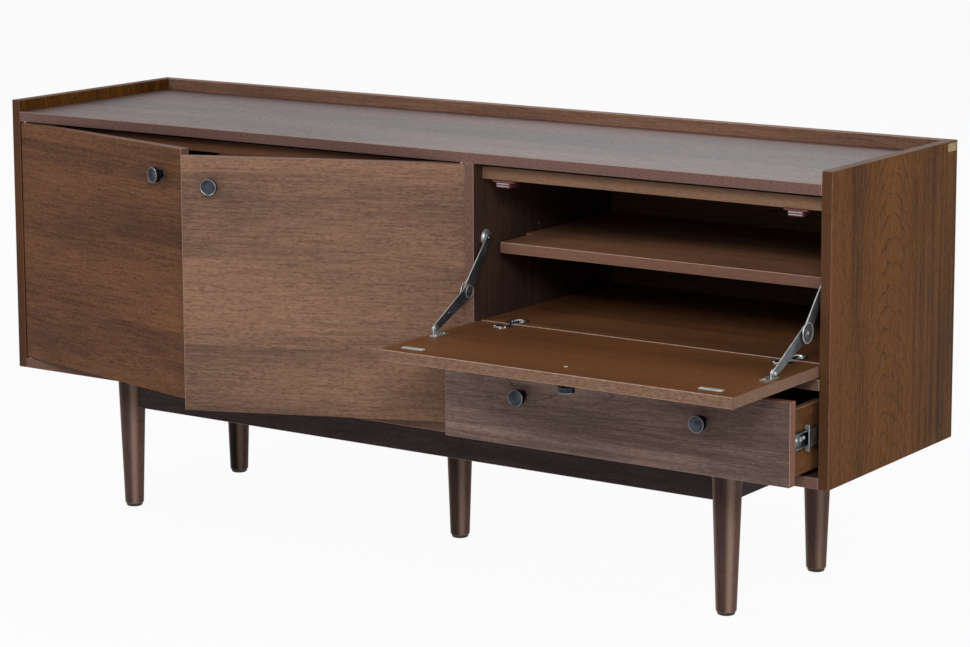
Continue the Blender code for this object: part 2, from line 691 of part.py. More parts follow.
# Flap hinges: a cup and arm in the floor, and a slotted block with a pin in the flap
hinge_places = {"left": divider_right + hinge_inset, "right": inner_right - hinge_inset}
slot_half = hinge_arm_width / 2 + hinge_side_play
eye_room = hinge_eye_radius + seat_gap
arm_half = hinge_arm_width / 2
block_half = hinge_block_width / 2
cup_y = floor_front + hinge_cup_setback
cup_foot = floor_level - hinge_cup_depth
block_top = flap_pivot_z + hinge_block_reach
block_foot = flap_foot + flap_round + seat_gap
block_front = front + hinge_block_skin
for side_name, x in hinge_places.items():
    arm_name = "flap_hinge_arm_" + side_name
    eye = arc((flap_pivot_y, flap_pivot_z), hinge_eye_radius, 270, 90, 6)
    eye += [(cup_y, flap_pivot_z + hinge_eye_radius), (cup_y, flap_pivot_z - hinge_eye_radius)]
    shape = bmesh.new()
    add_prism(shape, eye, 0, x - arm_half, x + arm_half)
    hinge_arm = place_piece(arm_name, mesh_of(shape, arm_name), zinc)
    cup = bmesh.new()
    add_rod(cup, (x, cup_y, cup_foot), (x, cup_y, floor_level - seat_gap), hinge_cup_radius, leg_facets)
    combine(hinge_arm, arm_name + "_cup", cup, "UNION")
    eye_hole = bmesh.new()
    add_rod(eye_hole, (x - block_half, flap_pivot_y, flap_pivot_z), (x + block_half, flap_pivot_y, flap_pivot_z),
            hinge_pin_radius + seat_gap, small_facets)
    combine(hinge_arm, arm_name + "_eye", eye_hole, "DIFFERENCE")
    cup_seat = bmesh.new()
    add_rod(cup_seat, (x, cup_y, cup_foot - seat_gap), (x, cup_y, floor_level + cut_over),
            hinge_cup_radius + seat_gap, leg_facets)
    combine(compartment_floor, arm_name + "_seat", cup_seat, "DIFFERENCE")
    arm_slot = bmesh.new()
    add_box(arm_slot, (x - slot_half, floor_front - cut_over, flap_pivot_z - eye_room),
            (x + slot_half, cup_y, floor_level + cut_over))
    combine(compartment_floor, arm_name + "_slot", arm_slot, "DIFFERENCE")

    block_name = "flap_hinge_block_" + side_name
    shape = bmesh.new()
    add_box(shape, (x - block_half, block_front, block_foot), (x + block_half, leaf_back - seat_gap, block_top))
    block = place_piece(block_name, mesh_of(shape, block_name), zinc, flap_axis)
    slot = bmesh.new()
    add_box(slot, (x - slot_half, front - cut_over, flap_foot - cut_over),
            (x + slot_half, leaf_back + cut_over, flap_pivot_z + eye_room))
    combine(block, block_name + "_slot", slot, "DIFFERENCE", flap_axis)
    pin = bmesh.new()
    add_rod(pin, (x - block_half + arm_half, flap_pivot_y, flap_pivot_z),
            (x + block_half - arm_half, flap_pivot_y, flap_pivot_z), hinge_pin_radius, small_facets)
    combine(block, block_name + "_pin", pin, "UNION", flap_axis)
    seat = bmesh.new()
    add_box(seat, (x - block_half - seat_gap, block_front - seat_gap, block_foot - seat_gap),
            (x + block_half + seat_gap, leaf_back + cut_over, block_top + seat_gap))
    combine(flap_panel, block_name + "_seat", seat, "DIFFERENCE", flap_axis)
    sweep = bmesh.new()
    add_box(sweep, (x - slot_half, flap_pivot_y - eye_room, flap_foot - cut_over),
            (x + slot_half, leaf_back + cut_over, flap_pivot_z + eye_room))
    combine(flap_panel, block_name + "_sweep", sweep, "DIFFERENCE", flap_axis)

# Flap stays, drawn with the flap down. The two arms of each meet at the elbow in neighbouring planes.
wall_pivot = (front + stay_wall_pivot_in, floor_level + stay_wall_pivot_level)
flap_pivot = (flap_pivot_y - stay_flap_pivot_along, floor_level + stay_flap_pivot_off)


def elbow_place(upper_pivot, lower_pivot):
    """Where two arms meet, on the side of the case."""
    run = Vector(lower_pivot) - Vector(upper_pivot)
    span = run.length
    cosine = (span ** 2 + stay_upper_length ** 2 - stay_lower_length ** 2) / (2 * span * stay_upper_length)
    turn = math.atan2(run.y, run.x) + math.acos(cosine)
    return Vector(upper_pivot) + stay_upper_length * Vector((math.cos(turn), math.sin(turn)))


def arm_outline(start, end):
    """A flat arm that widens from the round end at its own pivot to the round end at the elbow."""
    run = Vector(end) - Vector(start)
    heading = math.degrees(math.atan2(run.y, run.x))
    side = 90 + math.degrees(math.asin((stay_elbow_radius - stay_end_radius) / run.length))
    outline = arc(start, stay_end_radius, heading + side, heading + 360 - side, 8)
    outline += arc(end, stay_elbow_radius, heading - side, heading + side, 8)
    return outline


elbow = elbow_place(wall_pivot, flap_pivot)
upper_axis = joint_empty("stay_upper_axis", (flap_middle, *wall_pivot))
lower_axis = joint_empty("stay_lower_axis", (flap_middle, *flap_pivot))
lower_plane = stay_upper_plane + stay_plate + stay_plane_gap
ear_plane = lower_plane + stay_plate + stay_plane_gap
half_plate = stay_plate / 2
pivot_place = Matrix.Translation(flap_axis.location)
shut_turn = pivot_place @ Matrix.Rotation(-flap_down, 4, "X") @ pivot_place.inverted()


def disc(shape, wall_x, towards, near, far, centre, radius, facets=small_facets):
    """A disc across the stay's planes; near and far are distances from the wall."""
    add_rod(shape, (wall_x + towards * near, *centre), (wall_x + towards * far, *centre), radius, facets)


for side_name, wall_x, towards in (("left", divider_right, 1), ("right", inner_right, -1)):
    name = "stay_wall_bracket_" + side_name
    shape = bmesh.new()
    disc(shape, wall_x, towards, seat_gap, stay_upper_plane - seat_gap, wall_pivot, stay_wall_boss_radius, leg_facets)
    smooth(place_piece(name, mesh_of(shape, name), bronze_steel))

    name = "stay_arm_upper_" + side_name
    shape = bmesh.new()
    add_prism(shape, arm_outline(wall_pivot, elbow), 0, wall_x + towards * stay_upper_plane,
              wall_x + towards * (stay_upper_plane + stay_plate))
    arm = place_piece(name, mesh_of(shape, name), bronze_steel, upper_axis)
    caps = bmesh.new()
    disc(caps, wall_x, towards, stay_upper_plane + half_plate, stay_upper_plane + stay_plate + stay_cap_depth,
         wall_pivot, stay_stud_radius)
    disc(caps, wall_x, towards, stay_upper_plane - stay_cap_depth, stay_upper_plane + half_plate,
         elbow, stay_disc_radius, leg_facets)
    combine(arm, name + "_caps", caps, "UNION", upper_axis)

    name = "stay_arm_lower_" + side_name
    shape = bmesh.new()
    add_prism(shape, arm_outline(flap_pivot, elbow), 0, wall_x + towards * lower_plane,
              wall_x + towards * (lower_plane + stay_plate))
    arm = place_piece(name, mesh_of(shape, name), bronze_steel, lower_axis)
    caps = bmesh.new()
    disc(caps, wall_x, towards, lower_plane - stay_cap_depth, lower_plane + half_plate,
         flap_pivot, stay_stud_radius)
    disc(caps, wall_x, towards, lower_plane + half_plate, lower_plane + stay_plate + stay_cap_depth,
         elbow, stay_elbow_cap_radius, leg_facets)
    combine(arm, name + "_caps", caps, "UNION", lower_axis)

    name = "stay_flap_bracket_" + side_name
    foot_low = floor_level + seat_gap
    foot_ends = sorted((wall_x + towards * ear_plane, wall_x + towards * (ear_plane + stay_foot_width)))
    shape = bmesh.new()
    add_box(shape, (foot_ends[0], flap_pivot[0] - stay_foot_length / 2, foot_low),
            (foot_ends[1], flap_pivot[0] + stay_foot_length / 2, foot_low + stay_plate))
    shape.transform(shut_turn)
    bracket = place_piece(name, mesh_of(shape, name), bronze_steel, flap_axis)
    ear_outline = arc(flap_pivot, stay_end_radius, 0, 180, 8)
    ear_outline += [(flap_pivot[0] - stay_end_radius, foot_low + half_plate),
                    (flap_pivot[0] + stay_end_radius, foot_low + half_plate)]
    ear = bmesh.new()
    add_prism(ear, ear_outline, 0, wall_x + towards * ear_plane, wall_x + towards * (ear_plane + stay_plate))
    ear.transform(shut_turn)
    combine(bracket, name + "_ear", ear, "UNION", flap_axis)

# Drawer: a box of thin boards behind its front
drawer_left = divider_right + leaf_gap
drawer_right = inner_right - leaf_gap
box_left = divider_right + slide_space
box_right = inner_right - slide_space
box_foot = leaf_foot + drawer_box_rise
box_top = box_foot + drawer_box_height
box_back = leaf_back + seat_gap + drawer_box_depth
panel_foot = box_foot + drawer_bottom_rise
panel_top = panel_foot + drawer_bottom_thickness
drawer_front = board_piece(
    "drawer_front", (drawer_left, front, leaf_foot), (drawer_right, leaf_back, drawer_front_top),
    oak_front, drawer_run)
groove = bmesh.new()
add_box(groove, (box_left + drawer_wall - groove_depth - seat_gap, leaf_back - groove_depth - seat_gap,
                 panel_foot - seat_gap),
        (box_right - drawer_wall + groove_depth + seat_gap, leaf_back + cut_over, panel_top + seat_gap))
combine(drawer_front, "drawer_front_groove", groove, "DIFFERENCE", drawer_run)
for side_name, outer_x, towards in (("left", box_left, 1), ("right", box_right, -1)):
    inner_x = outer_x + towards * drawer_wall
    name = "drawer_side_" + side_name
    side = board_piece(name, (min(outer_x, inner_x), leaf_back + seat_gap, box_foot),
                       (max(outer_x, inner_x), box_back, box_top), drawer_wood, drawer_run)
    groove = bmesh.new()
    deep_x = inner_x - towards * (groove_depth + seat_gap)
    clear_x = inner_x + towards * cut_over
    add_box(groove, (min(deep_x, clear_x), front, panel_foot - seat_gap),
            (max(deep_x, clear_x), box_back + cut_over, panel_top + seat_gap))
    combine(side, name + "_groove", groove, "DIFFERENCE", drawer_run)
    for share in (0.4, 0.8):
        peg_z = box_foot + drawer_box_height * share
        peg("drawer_front", name, ((outer_x + inner_x) / 2, leaf_back, peg_z), (0, 1, 0))
        peg(name, "drawer_back", (inner_x, box_back - drawer_wall / 2, peg_z), (towards, 0, 0))
board_piece("drawer_back", (box_left + drawer_wall + seat_gap, box_back - drawer_wall, panel_top + seat_gap),
            (box_right - drawer_wall - seat_gap, box_back, box_top), drawer_wood, drawer_run)
board_piece("drawer_bottom", (box_left + drawer_wall - groove_depth, leaf_back - groove_depth, panel_foot),
            (box_right - drawer_wall + groove_depth, box_back, panel_top), drawer_wood, drawer_run)
for side_name, towards in (("left", -1), ("right", 1)):
    knob("knob_drawer_" + side_name, "drawer_front", flap_middle + towards * drawer_knob_spacing / 2,
         drawer_front_top - knob_drop, drawer_run)

# Drawer slides: three nested channels on each side
slide_middle_z = leaf_foot + slide_level
slide_front = leaf_back + slide_start_gap
slide_back = slide_front + slide_length


def add_channel(shape, wall_x, towards, web_offset, lip_offset, height):
    """A channel along Y: its web stands at web_offset from the wall, its lips reach lip_offset."""
    half = height / 2
    thick = math.copysign(slide_metal, lip_offset - web_offset)
    outline = [
        (web_offset, -half), (lip_offset, -half), (lip_offset, -half + slide_metal),
        (web_offset + thick, -half + slide_metal), (web_offset + thick, half - slide_metal),
        (lip_offset, half - slide_metal), (lip_offset, half), (web_offset, half)]
    placed = [(wall_x + towards * offset, slide_middle_z + rise) for offset, rise in outline]
    add_prism(shape, placed, 1, slide_front, slide_back)


outer_lip = slide_space - 2 * slide_metal
middle_web = seat_gap + slide_metal + slide_play
middle_height = slide_height - 2 * (slide_metal + slide_play)
inner_height = middle_height - 2 * (slide_metal + slide_play)
for side_name, wall_x, towards in (("left", divider_right, 1), ("right", inner_right, -1)):
    for member, web, lip, height, carrier in (
            ("outer", seat_gap, outer_lip, slide_height, None),
            ("middle", middle_web, outer_lip, middle_height, slide_run),
            ("inner", slide_space - seat_gap, middle_web + 2 * slide_metal, inner_height, drawer_run)):
        name = "slide_" + member + "_" + side_name
        shape = bmesh.new()
        add_channel(shape, wall_x, towards, web, lip, height)
        place_piece(name, mesh_of(shape, name), zinc, carrier)

# Magnetic catches under the upper rails
for name, x, width in (
        ("catch_doors", door_middle, 2 * catch_width),
        ("catch_flap_left", divider_right + catch_left_inset, catch_width),
        ("catch_flap_right", inner_right - catch_right_inset, catch_width)):
    shape = bmesh.new()
    add_box(shape, (x - width / 2, catch_front, catch_top - catch_height),
            (x + width / 2, catch_front + catch_depth, catch_top))
    soften(place_piece(name, mesh_of(shape, name), magnet_brown))

# Glue the pegs in, then drill each piece for its pegs, pins, studs and screws
for rods_of, ending, operation in ((studs, "_pegs", "UNION"), (bores, "_bores", "DIFFERENCE")):
    for name, rods in rods_of.items():
        tool_shape = bmesh.new()
        for start, end, radius, facets in rods:
            add_rod(tool_shape, start, end, radius, facets)
        piece = bpy.data.objects[name]
        combine(piece, name + ending, tool_shape, operation, piece.parent)

# The pose in which the sideboard stands
left_door_axis.rotation_euler.z = -left_door_ajar
right_door_axis.rotation_euler.z = right_door_ajar
flap_axis.rotation_euler.x = flap_down
drawer_run.location.y -= drawer_pulled
slide_run.location.y -= drawer_pulled / 2
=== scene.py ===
import json
import math
from functools import partial

import bmesh
import bpy
from mathutils import Matrix, Vector


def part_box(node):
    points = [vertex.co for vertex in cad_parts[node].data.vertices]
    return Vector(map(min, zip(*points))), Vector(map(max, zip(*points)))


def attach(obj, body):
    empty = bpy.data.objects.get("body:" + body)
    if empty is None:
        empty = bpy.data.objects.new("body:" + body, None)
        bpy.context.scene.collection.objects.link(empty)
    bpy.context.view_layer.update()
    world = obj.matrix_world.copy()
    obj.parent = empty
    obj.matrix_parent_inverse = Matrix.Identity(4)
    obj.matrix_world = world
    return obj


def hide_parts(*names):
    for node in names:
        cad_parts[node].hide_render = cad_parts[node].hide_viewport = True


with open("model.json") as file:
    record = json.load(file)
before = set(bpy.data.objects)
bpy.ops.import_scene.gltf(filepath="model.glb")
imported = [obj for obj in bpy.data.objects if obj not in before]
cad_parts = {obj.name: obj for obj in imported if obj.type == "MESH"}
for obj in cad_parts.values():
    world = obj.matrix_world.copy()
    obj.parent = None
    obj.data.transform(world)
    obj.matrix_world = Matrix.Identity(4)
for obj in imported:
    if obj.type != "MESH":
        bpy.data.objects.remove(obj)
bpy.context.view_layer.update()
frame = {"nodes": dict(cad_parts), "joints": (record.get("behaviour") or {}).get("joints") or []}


# Side panels. Two boards faced with plain-sawn oak veneer, stained dark brown and lacquered satin.
# The grain stands upright with its arches pointing up, and runs over the solid lipping of each edge.
def shade(red, green, blue):
    """A colour as it shows on a screen, 0 to 255, turned to linear light."""
    def channel(level):
        level = level / 255
        return level / 12.92 if level <= 0.04045 else ((level + 0.055) / 1.055) ** 2.4
    return (channel(red), channel(green), channel(blue), 1.0)


def shades(pale, deep, line, **others):
    """The named shades of one stain."""
    others.update(pale=pale, deep=deep, line=line)
    return {label: shade(*colour) for label, colour in others.items()}


def feed(tree, socket, term):
    """Give a socket a plain value or another node's output."""
    if isinstance(term, bpy.types.NodeSocket):
        tree.links.new(term, socket)
    else:
        socket.default_value = term


def add(tree, kind, inputs=(), **settings):
    """A new node with its settings, and its inputs fed by name or number."""
    node = tree.nodes.new(kind)
    for label, value in settings.items():
        setattr(node, label, value)
    for label, term in dict(inputs).items():
        feed(tree, node.inputs[label], term)
    return node


def maths(tree, operation, *terms):
    """One Math node's output."""
    return add(tree, "ShaderNodeMath", enumerate(terms), operation=operation).outputs[0]


def stain(tree, share, first, second):
    """Two colours mixed by a share."""
    return add(tree, "ShaderNodeMix", {0: share, 6: first, 7: second}, data_type="RGBA").outputs[2]


def ripple(tree, place, waves, detail=2.0):
    """Noise about zero, with so many waves a metre along, across and through the board."""
    scaled = add(tree, "ShaderNodeVectorMath", {0: place, 1: waves}, operation="MULTIPLY").outputs[0]
    texture = add(tree, "ShaderNodeTexNoise", {"Vector": scaled, "Scale": 1.0, "Detail": detail})
    return maths(tree, "SUBTRACT", texture.outputs[0], 0.5)


def between(tree, value, low, high):
    """A value's place between two levels, kept within 0 and 1."""
    return add(tree, "ShaderNodeMapRange", {"Value": value, "From Min": low, "From Max": high},
               interpolation_type="SMOOTHSTEP").outputs[0]


def join_axes(tree, *terms):
    """A vector from three numbers or outputs."""
    return add(tree, "ShaderNodeCombineXYZ", enumerate(terms)).outputs[0]


def axes_of(tree, vector):
    """A vector's three numbers."""
    return add(tree, "ShaderNodeSeparateXYZ", {0: vector}).outputs


def node_group(name, kind, inputs, outputs):
    """A node group with named sockets. An input's kind follows from its value, or else a word names it."""
    tree = bpy.data.node_groups.new(name, kind)
    for label, value in inputs.items():
        if isinstance(value, str):
            tree.interface.new_socket(label, in_out="INPUT", socket_type="NodeSocket" + value)
            continue
        sort = {3: "Vector", 4: "Color"}[len(value)] if isinstance(value, tuple) else "Float"
        socket = tree.interface.new_socket(label, in_out="INPUT", socket_type="NodeSocket" + sort)
        socket.default_value = value
    for label, sort in outputs.items():
        tree.interface.new_socket(label, in_out="OUTPUT", socket_type="NodeSocket" + sort)
    return tree


def put_out(tree, *terms):
    """Give a group its results."""
    add(tree, "NodeGroupOutput", enumerate(terms))


oak_grain = node_group("oak_grain", "ShaderNodeTree", {
    "Place": (0.0, 0.0, 0.0), "Facing": (0.0, 0.0, 1.0), "Pale": shade(126, 88, 60),
    "Deep": shade(96, 62, 40), "Line": shade(52, 34, 24), "Edge": shade(130, 98, 86),
    "Arris": shade(200, 170, 150), "Arch Step": 0.038,
    "Arch Half Width": 0.070, "Arch Power": 2.2, "Flank Rings": 4.0, "Heart": 0.0, "Waver": 1.0,
    "Line Strength": 0.75, "Line Width": 0.13, "Pore Strength": 0.42, "Streak Strength": 0.9,
    "Band Strength": 0.6, "Cloud Strength": 2.0, "Leaf Start": -5.0, "Leaf Width": 10.0, "Leaf Drift": 0.0,
    "Leaf Contrast": 0.0, "Edge Lift": 0.45, "Sheen Level": 0.46, "Tree": 0.0},
    {"Color": "Color", "Roughness": "Float", "Height": "Float"})


def draw_oak_grain(tree):
    """Rings as arches along the heart and lines beside it, with pores, streaks and clouds of stain."""
    times, over, plus, minus, times_plus, largest, smallest = (
        partial(maths, tree, operation) for operation in (
            "MULTIPLY", "DIVIDE", "ADD", "SUBTRACT", "MULTIPLY_ADD", "MAXIMUM", "MINIMUM"))
    given = tree.nodes.new("NodeGroupInput").outputs
    along, across, through = axes_of(tree, given["Place"])

    # Leaves of veneer lie side by side, each cut from another place in the tree
    from_start = minus(across, given["Leaf Start"])
    leaf_number = maths(tree, "FLOOR", over(from_start, given["Leaf Width"]))
    seed = times_plus(leaf_number, 1.7, given["Tree"])
    chance = add(tree, "ShaderNodeTexWhiteNoise", {"W": seed}, noise_dimensions="1D").outputs["Color"]
    sideways, lightness, lengthways = add(tree, "ShaderNodeSeparateColor", {0: chance}).outputs
    from_middle = minus(from_start, times(plus(leaf_number, 0.5), given["Leaf Width"]))
    drift = times(minus(sideways, 0.5), given["Leaf Drift"])
    from_heart = plus(minus(from_middle, given["Heart"]), drift)
    cut_place = times_plus(lengthways, 3.0, given["Tree"])
    grain = join_axes(
        tree, plus(along, cut_place), times_plus(leaf_number, 2.3, plus(from_heart, given["Tree"])), through)

    # Growth rings
    arches = over(plus(along, cut_place), given["Arch Step"])
    share = over(maths(tree, "ABSOLUTE", from_heart), given["Arch Half Width"])
    flanks = times(maths(tree, "POWER", share, given["Arch Power"]), given["Flank Rings"])
    rings = plus(plus(arches, flanks), times(through, 220.0))
    slow = times(ripple(tree, grain, (1.6, 9.0, 9.0)), 4.0)
    slow = times_plus(ripple(tree, grain, (5.0, 5.0, 5.0), 1.0), 2.4, slow)
    jagged = times(ripple(tree, grain, (5.0, 34.0, 30.0), 1.0), 1.25)
    ragged = times(ripple(tree, grain, (26.0, 180.0, 150.0), 1.0), 0.26)
    waver = times(plus(plus(slow, jagged), ragged), given["Waver"])
    ring = maths(tree, "FRACT", plus(rings, waver))
    thickness = times_plus(between(tree, share, 0.6, 1.6), 0.34, given["Line Width"])
    rise = smallest(largest(minus(1.0, over(minus(0.94, ring), thickness)), 0.0), 1.0)
    fall = smallest(times(minus(1.0, ring), 16.0), 1.0)
    late_wood = times(maths(tree, "POWER", rise, 1.6), fall)
    halo = times(maths(tree, "POWER", ring, 2.2), 0.34)
    strong_year = between(tree, ripple(tree, grain, (2.5, 40.0, 30.0)), -0.14, 0.10)
    line = times(largest(late_wood, halo), times_plus(strong_year, 0.60, 0.40))

    # Pores are fine dashes in the early wood, streaks are bundles of them, clouds the stain's own shade
    fine_pores = between(tree, ripple(tree, grain, (120.0, 1100.0, 700.0), 1.0), 0.02, 0.16)
    bundles = between(tree, ripple(tree, grain, (100.0, 540.0, 430.0), 1.0), 0.00, 0.14)
    pores = times(largest(times(fine_pores, 0.8), bundles), times_plus(ring, -0.45, 1.0))
    streaks = ripple(tree, grain, (13.0, 230.0, 200.0), 3.0)
    clouds = ripple(tree, grain, (1.4, 7.5, 7.5), 3.0)
    bands = times(ripple(tree, grain, (1.8, 75.0, 60.0)), smallest(share, 1.6))
    tone = 0.5
    for figure, name in ((clouds, "Cloud"), (streaks, "Streak"), (bands, "Band")):
        tone = times_plus(figure, given[name + " Strength"], tone)
    leaf_tone = times(minus(lightness, 0.5), given["Leaf Contrast"])
    colour = stain(tree, between(tree, plus(tone, leaf_tone), 0.0, 1.0), given["Pale"], given["Deep"])
    for mask, name in ((line, "Line"), (pores, "Pore")):
        colour = stain(tree, times(mask, given[name + " Strength"]), colour, given["Line"])

    # The lipped edges show paler, short grain
    facing = [maths(tree, "ABSOLUTE", part) for part in axes_of(tree, given["Facing"])]
    fleck = between(tree, ripple(tree, given["Place"], (150.0, 800.0, 800.0)), -0.16, 0.20)
    lipping = stain(tree, times(fleck, 0.7), given["Edge"], given["Deep"])
    colour = stain(tree, times(between(tree, facing[2], 0.75, 0.45), 0.75), colour, lipping)

    # The softened arrises are painted paler, a painted highlight where light catches them
    highlight_mask = minus(1.0, between(tree, largest(facing[0], largest(facing[1], facing[2])), 0.74, 0.97))
    colour = stain(tree, times(highlight_mask, given["Edge Lift"]), colour, given["Arris"])

    rough = times_plus(clouds, 0.12, times_plus(pores, 0.16, given["Sheen Level"]))
    put_out(tree, colour, rough, minus(times(line, -0.30), pores))


draw_oak_grain(oak_grain)


def fresh_material(name):
    """A new material with its nodes and its shader."""
    surface = bpy.data.materials.new(name)
    surface.use_nodes = True
    return surface, surface.node_tree, surface.node_tree.nodes["Principled BSDF"]


def carve(tree, shader, height, depth, strength=1.0):
    """Let a height show as fine relief; depth is what a height of 1 stands for, in metres."""
    bump = add(tree, "ShaderNodeBump", {"Distance": depth, "Strength": strength, "Height": height})
    tree.links.new(bump.outputs[0], shader.inputs["Normal"])


def oak(name, axes, shut=None, outside=None, gloss=0.07, **figure):
    """Stained oak. axes names the object's axes along, across and through the board. A leaf that stands
    open gives shut, its pivot, axis and the turn that shuts it, so that its grain stays with the board.
    outside gives the pale and the deep shade of its outer face, which differ from the inner face's as painted
    light."""
    surface, tree, shader = fresh_material(name)
    source = tree.nodes.new("ShaderNodeTexCoord")
    grain = add(tree, "ShaderNodeGroup", node_tree=oak_grain)
    for label, output in (("Place", "Object"), ("Facing", "Normal")):
        read = source.outputs[output]
        if shut is not None:
            pivot, axis, turn = shut
            centre = pivot if label == "Place" else (0, 0, 0)
            read = add(tree, "ShaderNodeVectorRotate", {
                "Vector": read, "Center": centre, "Axis": axis, "Angle": turn}).outputs[0]
        parts = axes_of(tree, read)
        tree.links.new(join_axes(tree, *(parts[axis] for axis in axes)), grain.inputs[label])
    for label, value in figure.items():
        grain.inputs[label.replace("_", " ").title()].default_value = value
    # The outer face takes other shades than the inner face, as painted light.
    if outside is not None:
        outward = between(tree, maths(tree, "MULTIPLY", parts[axes[2]], -1.0), 0.5, 0.8)
        for label, shown, hidden in zip(("Pale", "Deep"), outside, (figure["pale"], figure["deep"])):
            tree.links.new(stain(tree, outward, hidden, shown), grain.inputs[label])
    tree.links.new(grain.outputs["Color"], shader.inputs["Base Color"])
    tree.links.new(grain.outputs["Roughness"], shader.inputs["Roughness"])
    carve(tree, shader, grain.outputs["Height"], 0.00012, 0.8)
    shader.inputs["Specular IOR Level"].default_value = gloss
    return surface


def dress(node, surface):
    """Give a part of the construction its finish."""
    frame["nodes"][node].material_slots[0].material = surface


side_stain = shades((122, 74, 25), (73, 43, 15), (30, 17, 8), edge=(86, 60, 50))
for side, figure in (
        ("right", dict(heart=-0.016, tree=4.0, line_strength=1.0, line_width=0.15, arch_step=0.036,
                       arch_half_width=0.078, arch_power=2.5, flank_rings=2.6, waver=0.85)),
        ("left", dict(heart=-0.040, tree=11.0, line_strength=0.9, arch_power=3.2, flank_rings=2.0))):
    dress("side_panel_" + side, oak(
        "oak_side_" + side, "ZYX", edge_lift=0.15, band_strength=1.0, **figure, **side_stain))


# Top. A veneered board set between the sides, with its grain along the width, and a solid rail
# that stands in a rebate along its back edge.
dress("top_panel", oak(
    "oak_top", "XYZ", tree=21.0, gloss=0.35, arch_step=0.16, arch_half_width=0.040, flank_rings=5.0,
    leaf_start=-0.22, leaf_width=0.148, leaf_drift=0.05, leaf_contrast=0.35, line_strength=0.30,
    streak_strength=0.6, pore_strength=0.12, sheen_level=0.40,
    **shades((92, 63, 57), (58, 41, 43), (36, 26, 26), edge=(128, 92, 80))))
dress("gallery_back_rail", oak(
    "oak_gallery_rail", "XZY", tree=23.0, heart=0.70, arch_step=0.30, line_strength=0.5,
    **shades((148, 112, 92), (106, 76, 62), (60, 38, 30))))


# Bottom, divider and drawer rail. Lipped boards whose front edges show between the leaves, the
# divider's grain upright and the others' along the width.
case_stain = shades((120, 88, 74), (88, 64, 56), (50, 35, 30))
dress("bottom_panel", oak("oak_bottom", "XYZ", tree=31.0, arch_step=0.20, **case_stain))
dress("divider", oak("oak_divider", "ZYX", tree=33.0, heart=0.10, arch_step=0.20, **shades(
    (86, 63, 53), (58, 42, 38), (40, 28, 25), edge=(144, 108, 97))))
dress("drawer_rail", oak("oak_drawer_rail", "XYZ", tree=35.0, arch_step=0.20, **case_stain))


# Inside. Rails under the top, the floor of the flap's compartment and the shelves, veneered like the outside
# and a little warmer, with a thin back panel in rebates. The compartment floor and the back panel are stained
# darker than the shelves as painted shade at the back of the compartment.
for node, number, colours in (
        ("upper_rail_left", 41.0, shades((124, 84, 60), (92, 62, 46), (60, 42, 32), edge=(120, 82, 60))),
        ("upper_rail_right", 43.0, shades((148, 114, 90), (108, 80, 62), (60, 42, 32), edge=(146, 112, 90)))):
    dress(node, oak("oak_" + node, "XYZ", tree=number, heart=-0.16, arch_step=0.25, **colours))
floor_stain_and_shade = shades((126, 83, 52), (88, 57, 38), (50, 31, 22))
shelf_stain = shades((158, 112, 84), (112, 78, 59), (54, 36, 27))
for node, number, colours in (("compartment_floor", 45.0, floor_stain_and_shade), ("shelf_left", 47.0, shelf_stain),
                              ("shelf_right", 49.0, shelf_stain)):
    dress(node, oak(
        "oak_" + node, "XYZ", tree=number, arch_step=0.14, arch_half_width=0.045, leaf_start=-0.22,
        leaf_width=0.145, leaf_drift=0.05, leaf_contrast=0.25, line_strength=0.3, pore_strength=0.25,
        edge_lift=0.8, **colours))
# Painted shade: the back panel's shades are darker than the shelves'.
dress("back_panel", oak(
    "oak_back_panel", "XZY", tree=53.0, arch_step=0.20, leaf_start=0.25, leaf_width=0.155, leaf_drift=0.05,
    leaf_contrast=0.3, sheen_level=0.55, **shades((116, 82, 60), (82, 58, 43), (48, 32, 24))))


# Screws. Countersunk and pan-head steel screws with a cross recess hold the back panel; later
# sections use the same heads for hinges, stays, slides and catches.
handled = node_group("metal_wear", "ShaderNodeTree", {"Place": (0.0, 0.0, 0.0), "Roughness": 0.3},
                     {"Roughness": "Float", "Height": "Float"})


def draw_metal_wear(tree):
    """Roughness and fine height of handled metal, from smears and short scratches."""
    given = tree.nodes.new("NodeGroupInput").outputs
    smear = ripple(tree, given["Place"], (140.0, 140.0, 140.0), 3.0)
    scratch = between(tree, ripple(tree, given["Place"], (2600.0, 900.0, 260.0), 1.0), 0.10, 0.26)
    smeared = maths(tree, "MULTIPLY_ADD", smear, 0.22, given["Roughness"])
    rough = maths(tree, "MULTIPLY_ADD", scratch, 0.10, smeared)
    put_out(tree, rough, maths(tree, "SUBTRACT", maths(tree, "MULTIPLY", smear, 0.3), scratch))


draw_metal_wear(handled)


def metal(name, bright, dull, roughness, metallic=1.0):
    """Plated or blackened metal, its colour drifting between a bright and a dull shade."""
    surface, tree, shader = fresh_material(name)
    place = tree.nodes.new("ShaderNodeTexCoord").outputs["Object"]
    wear = add(tree, "ShaderNodeGroup", {"Place": place, "Roughness": roughness}, node_tree=handled)
    tree.links.new(wear.outputs["Roughness"], shader.inputs["Roughness"])
    carve(tree, shader, wear.outputs["Height"], 0.00003)
    drift = between(tree, ripple(tree, place, (45.0, 45.0, 45.0)), -0.2, 0.2)
    tree.links.new(stain(tree, drift, shade(*bright), shade(*dull)), shader.inputs["Base Color"])
    shader.inputs["Metallic"].default_value = metallic
    return surface


zinc = metal("zinc_plate", (206, 212, 212), (178, 186, 188), 0.34, 0.8)
dark_screw = metal("browned_steel", (92, 84, 78), (66, 60, 56), 0.38)


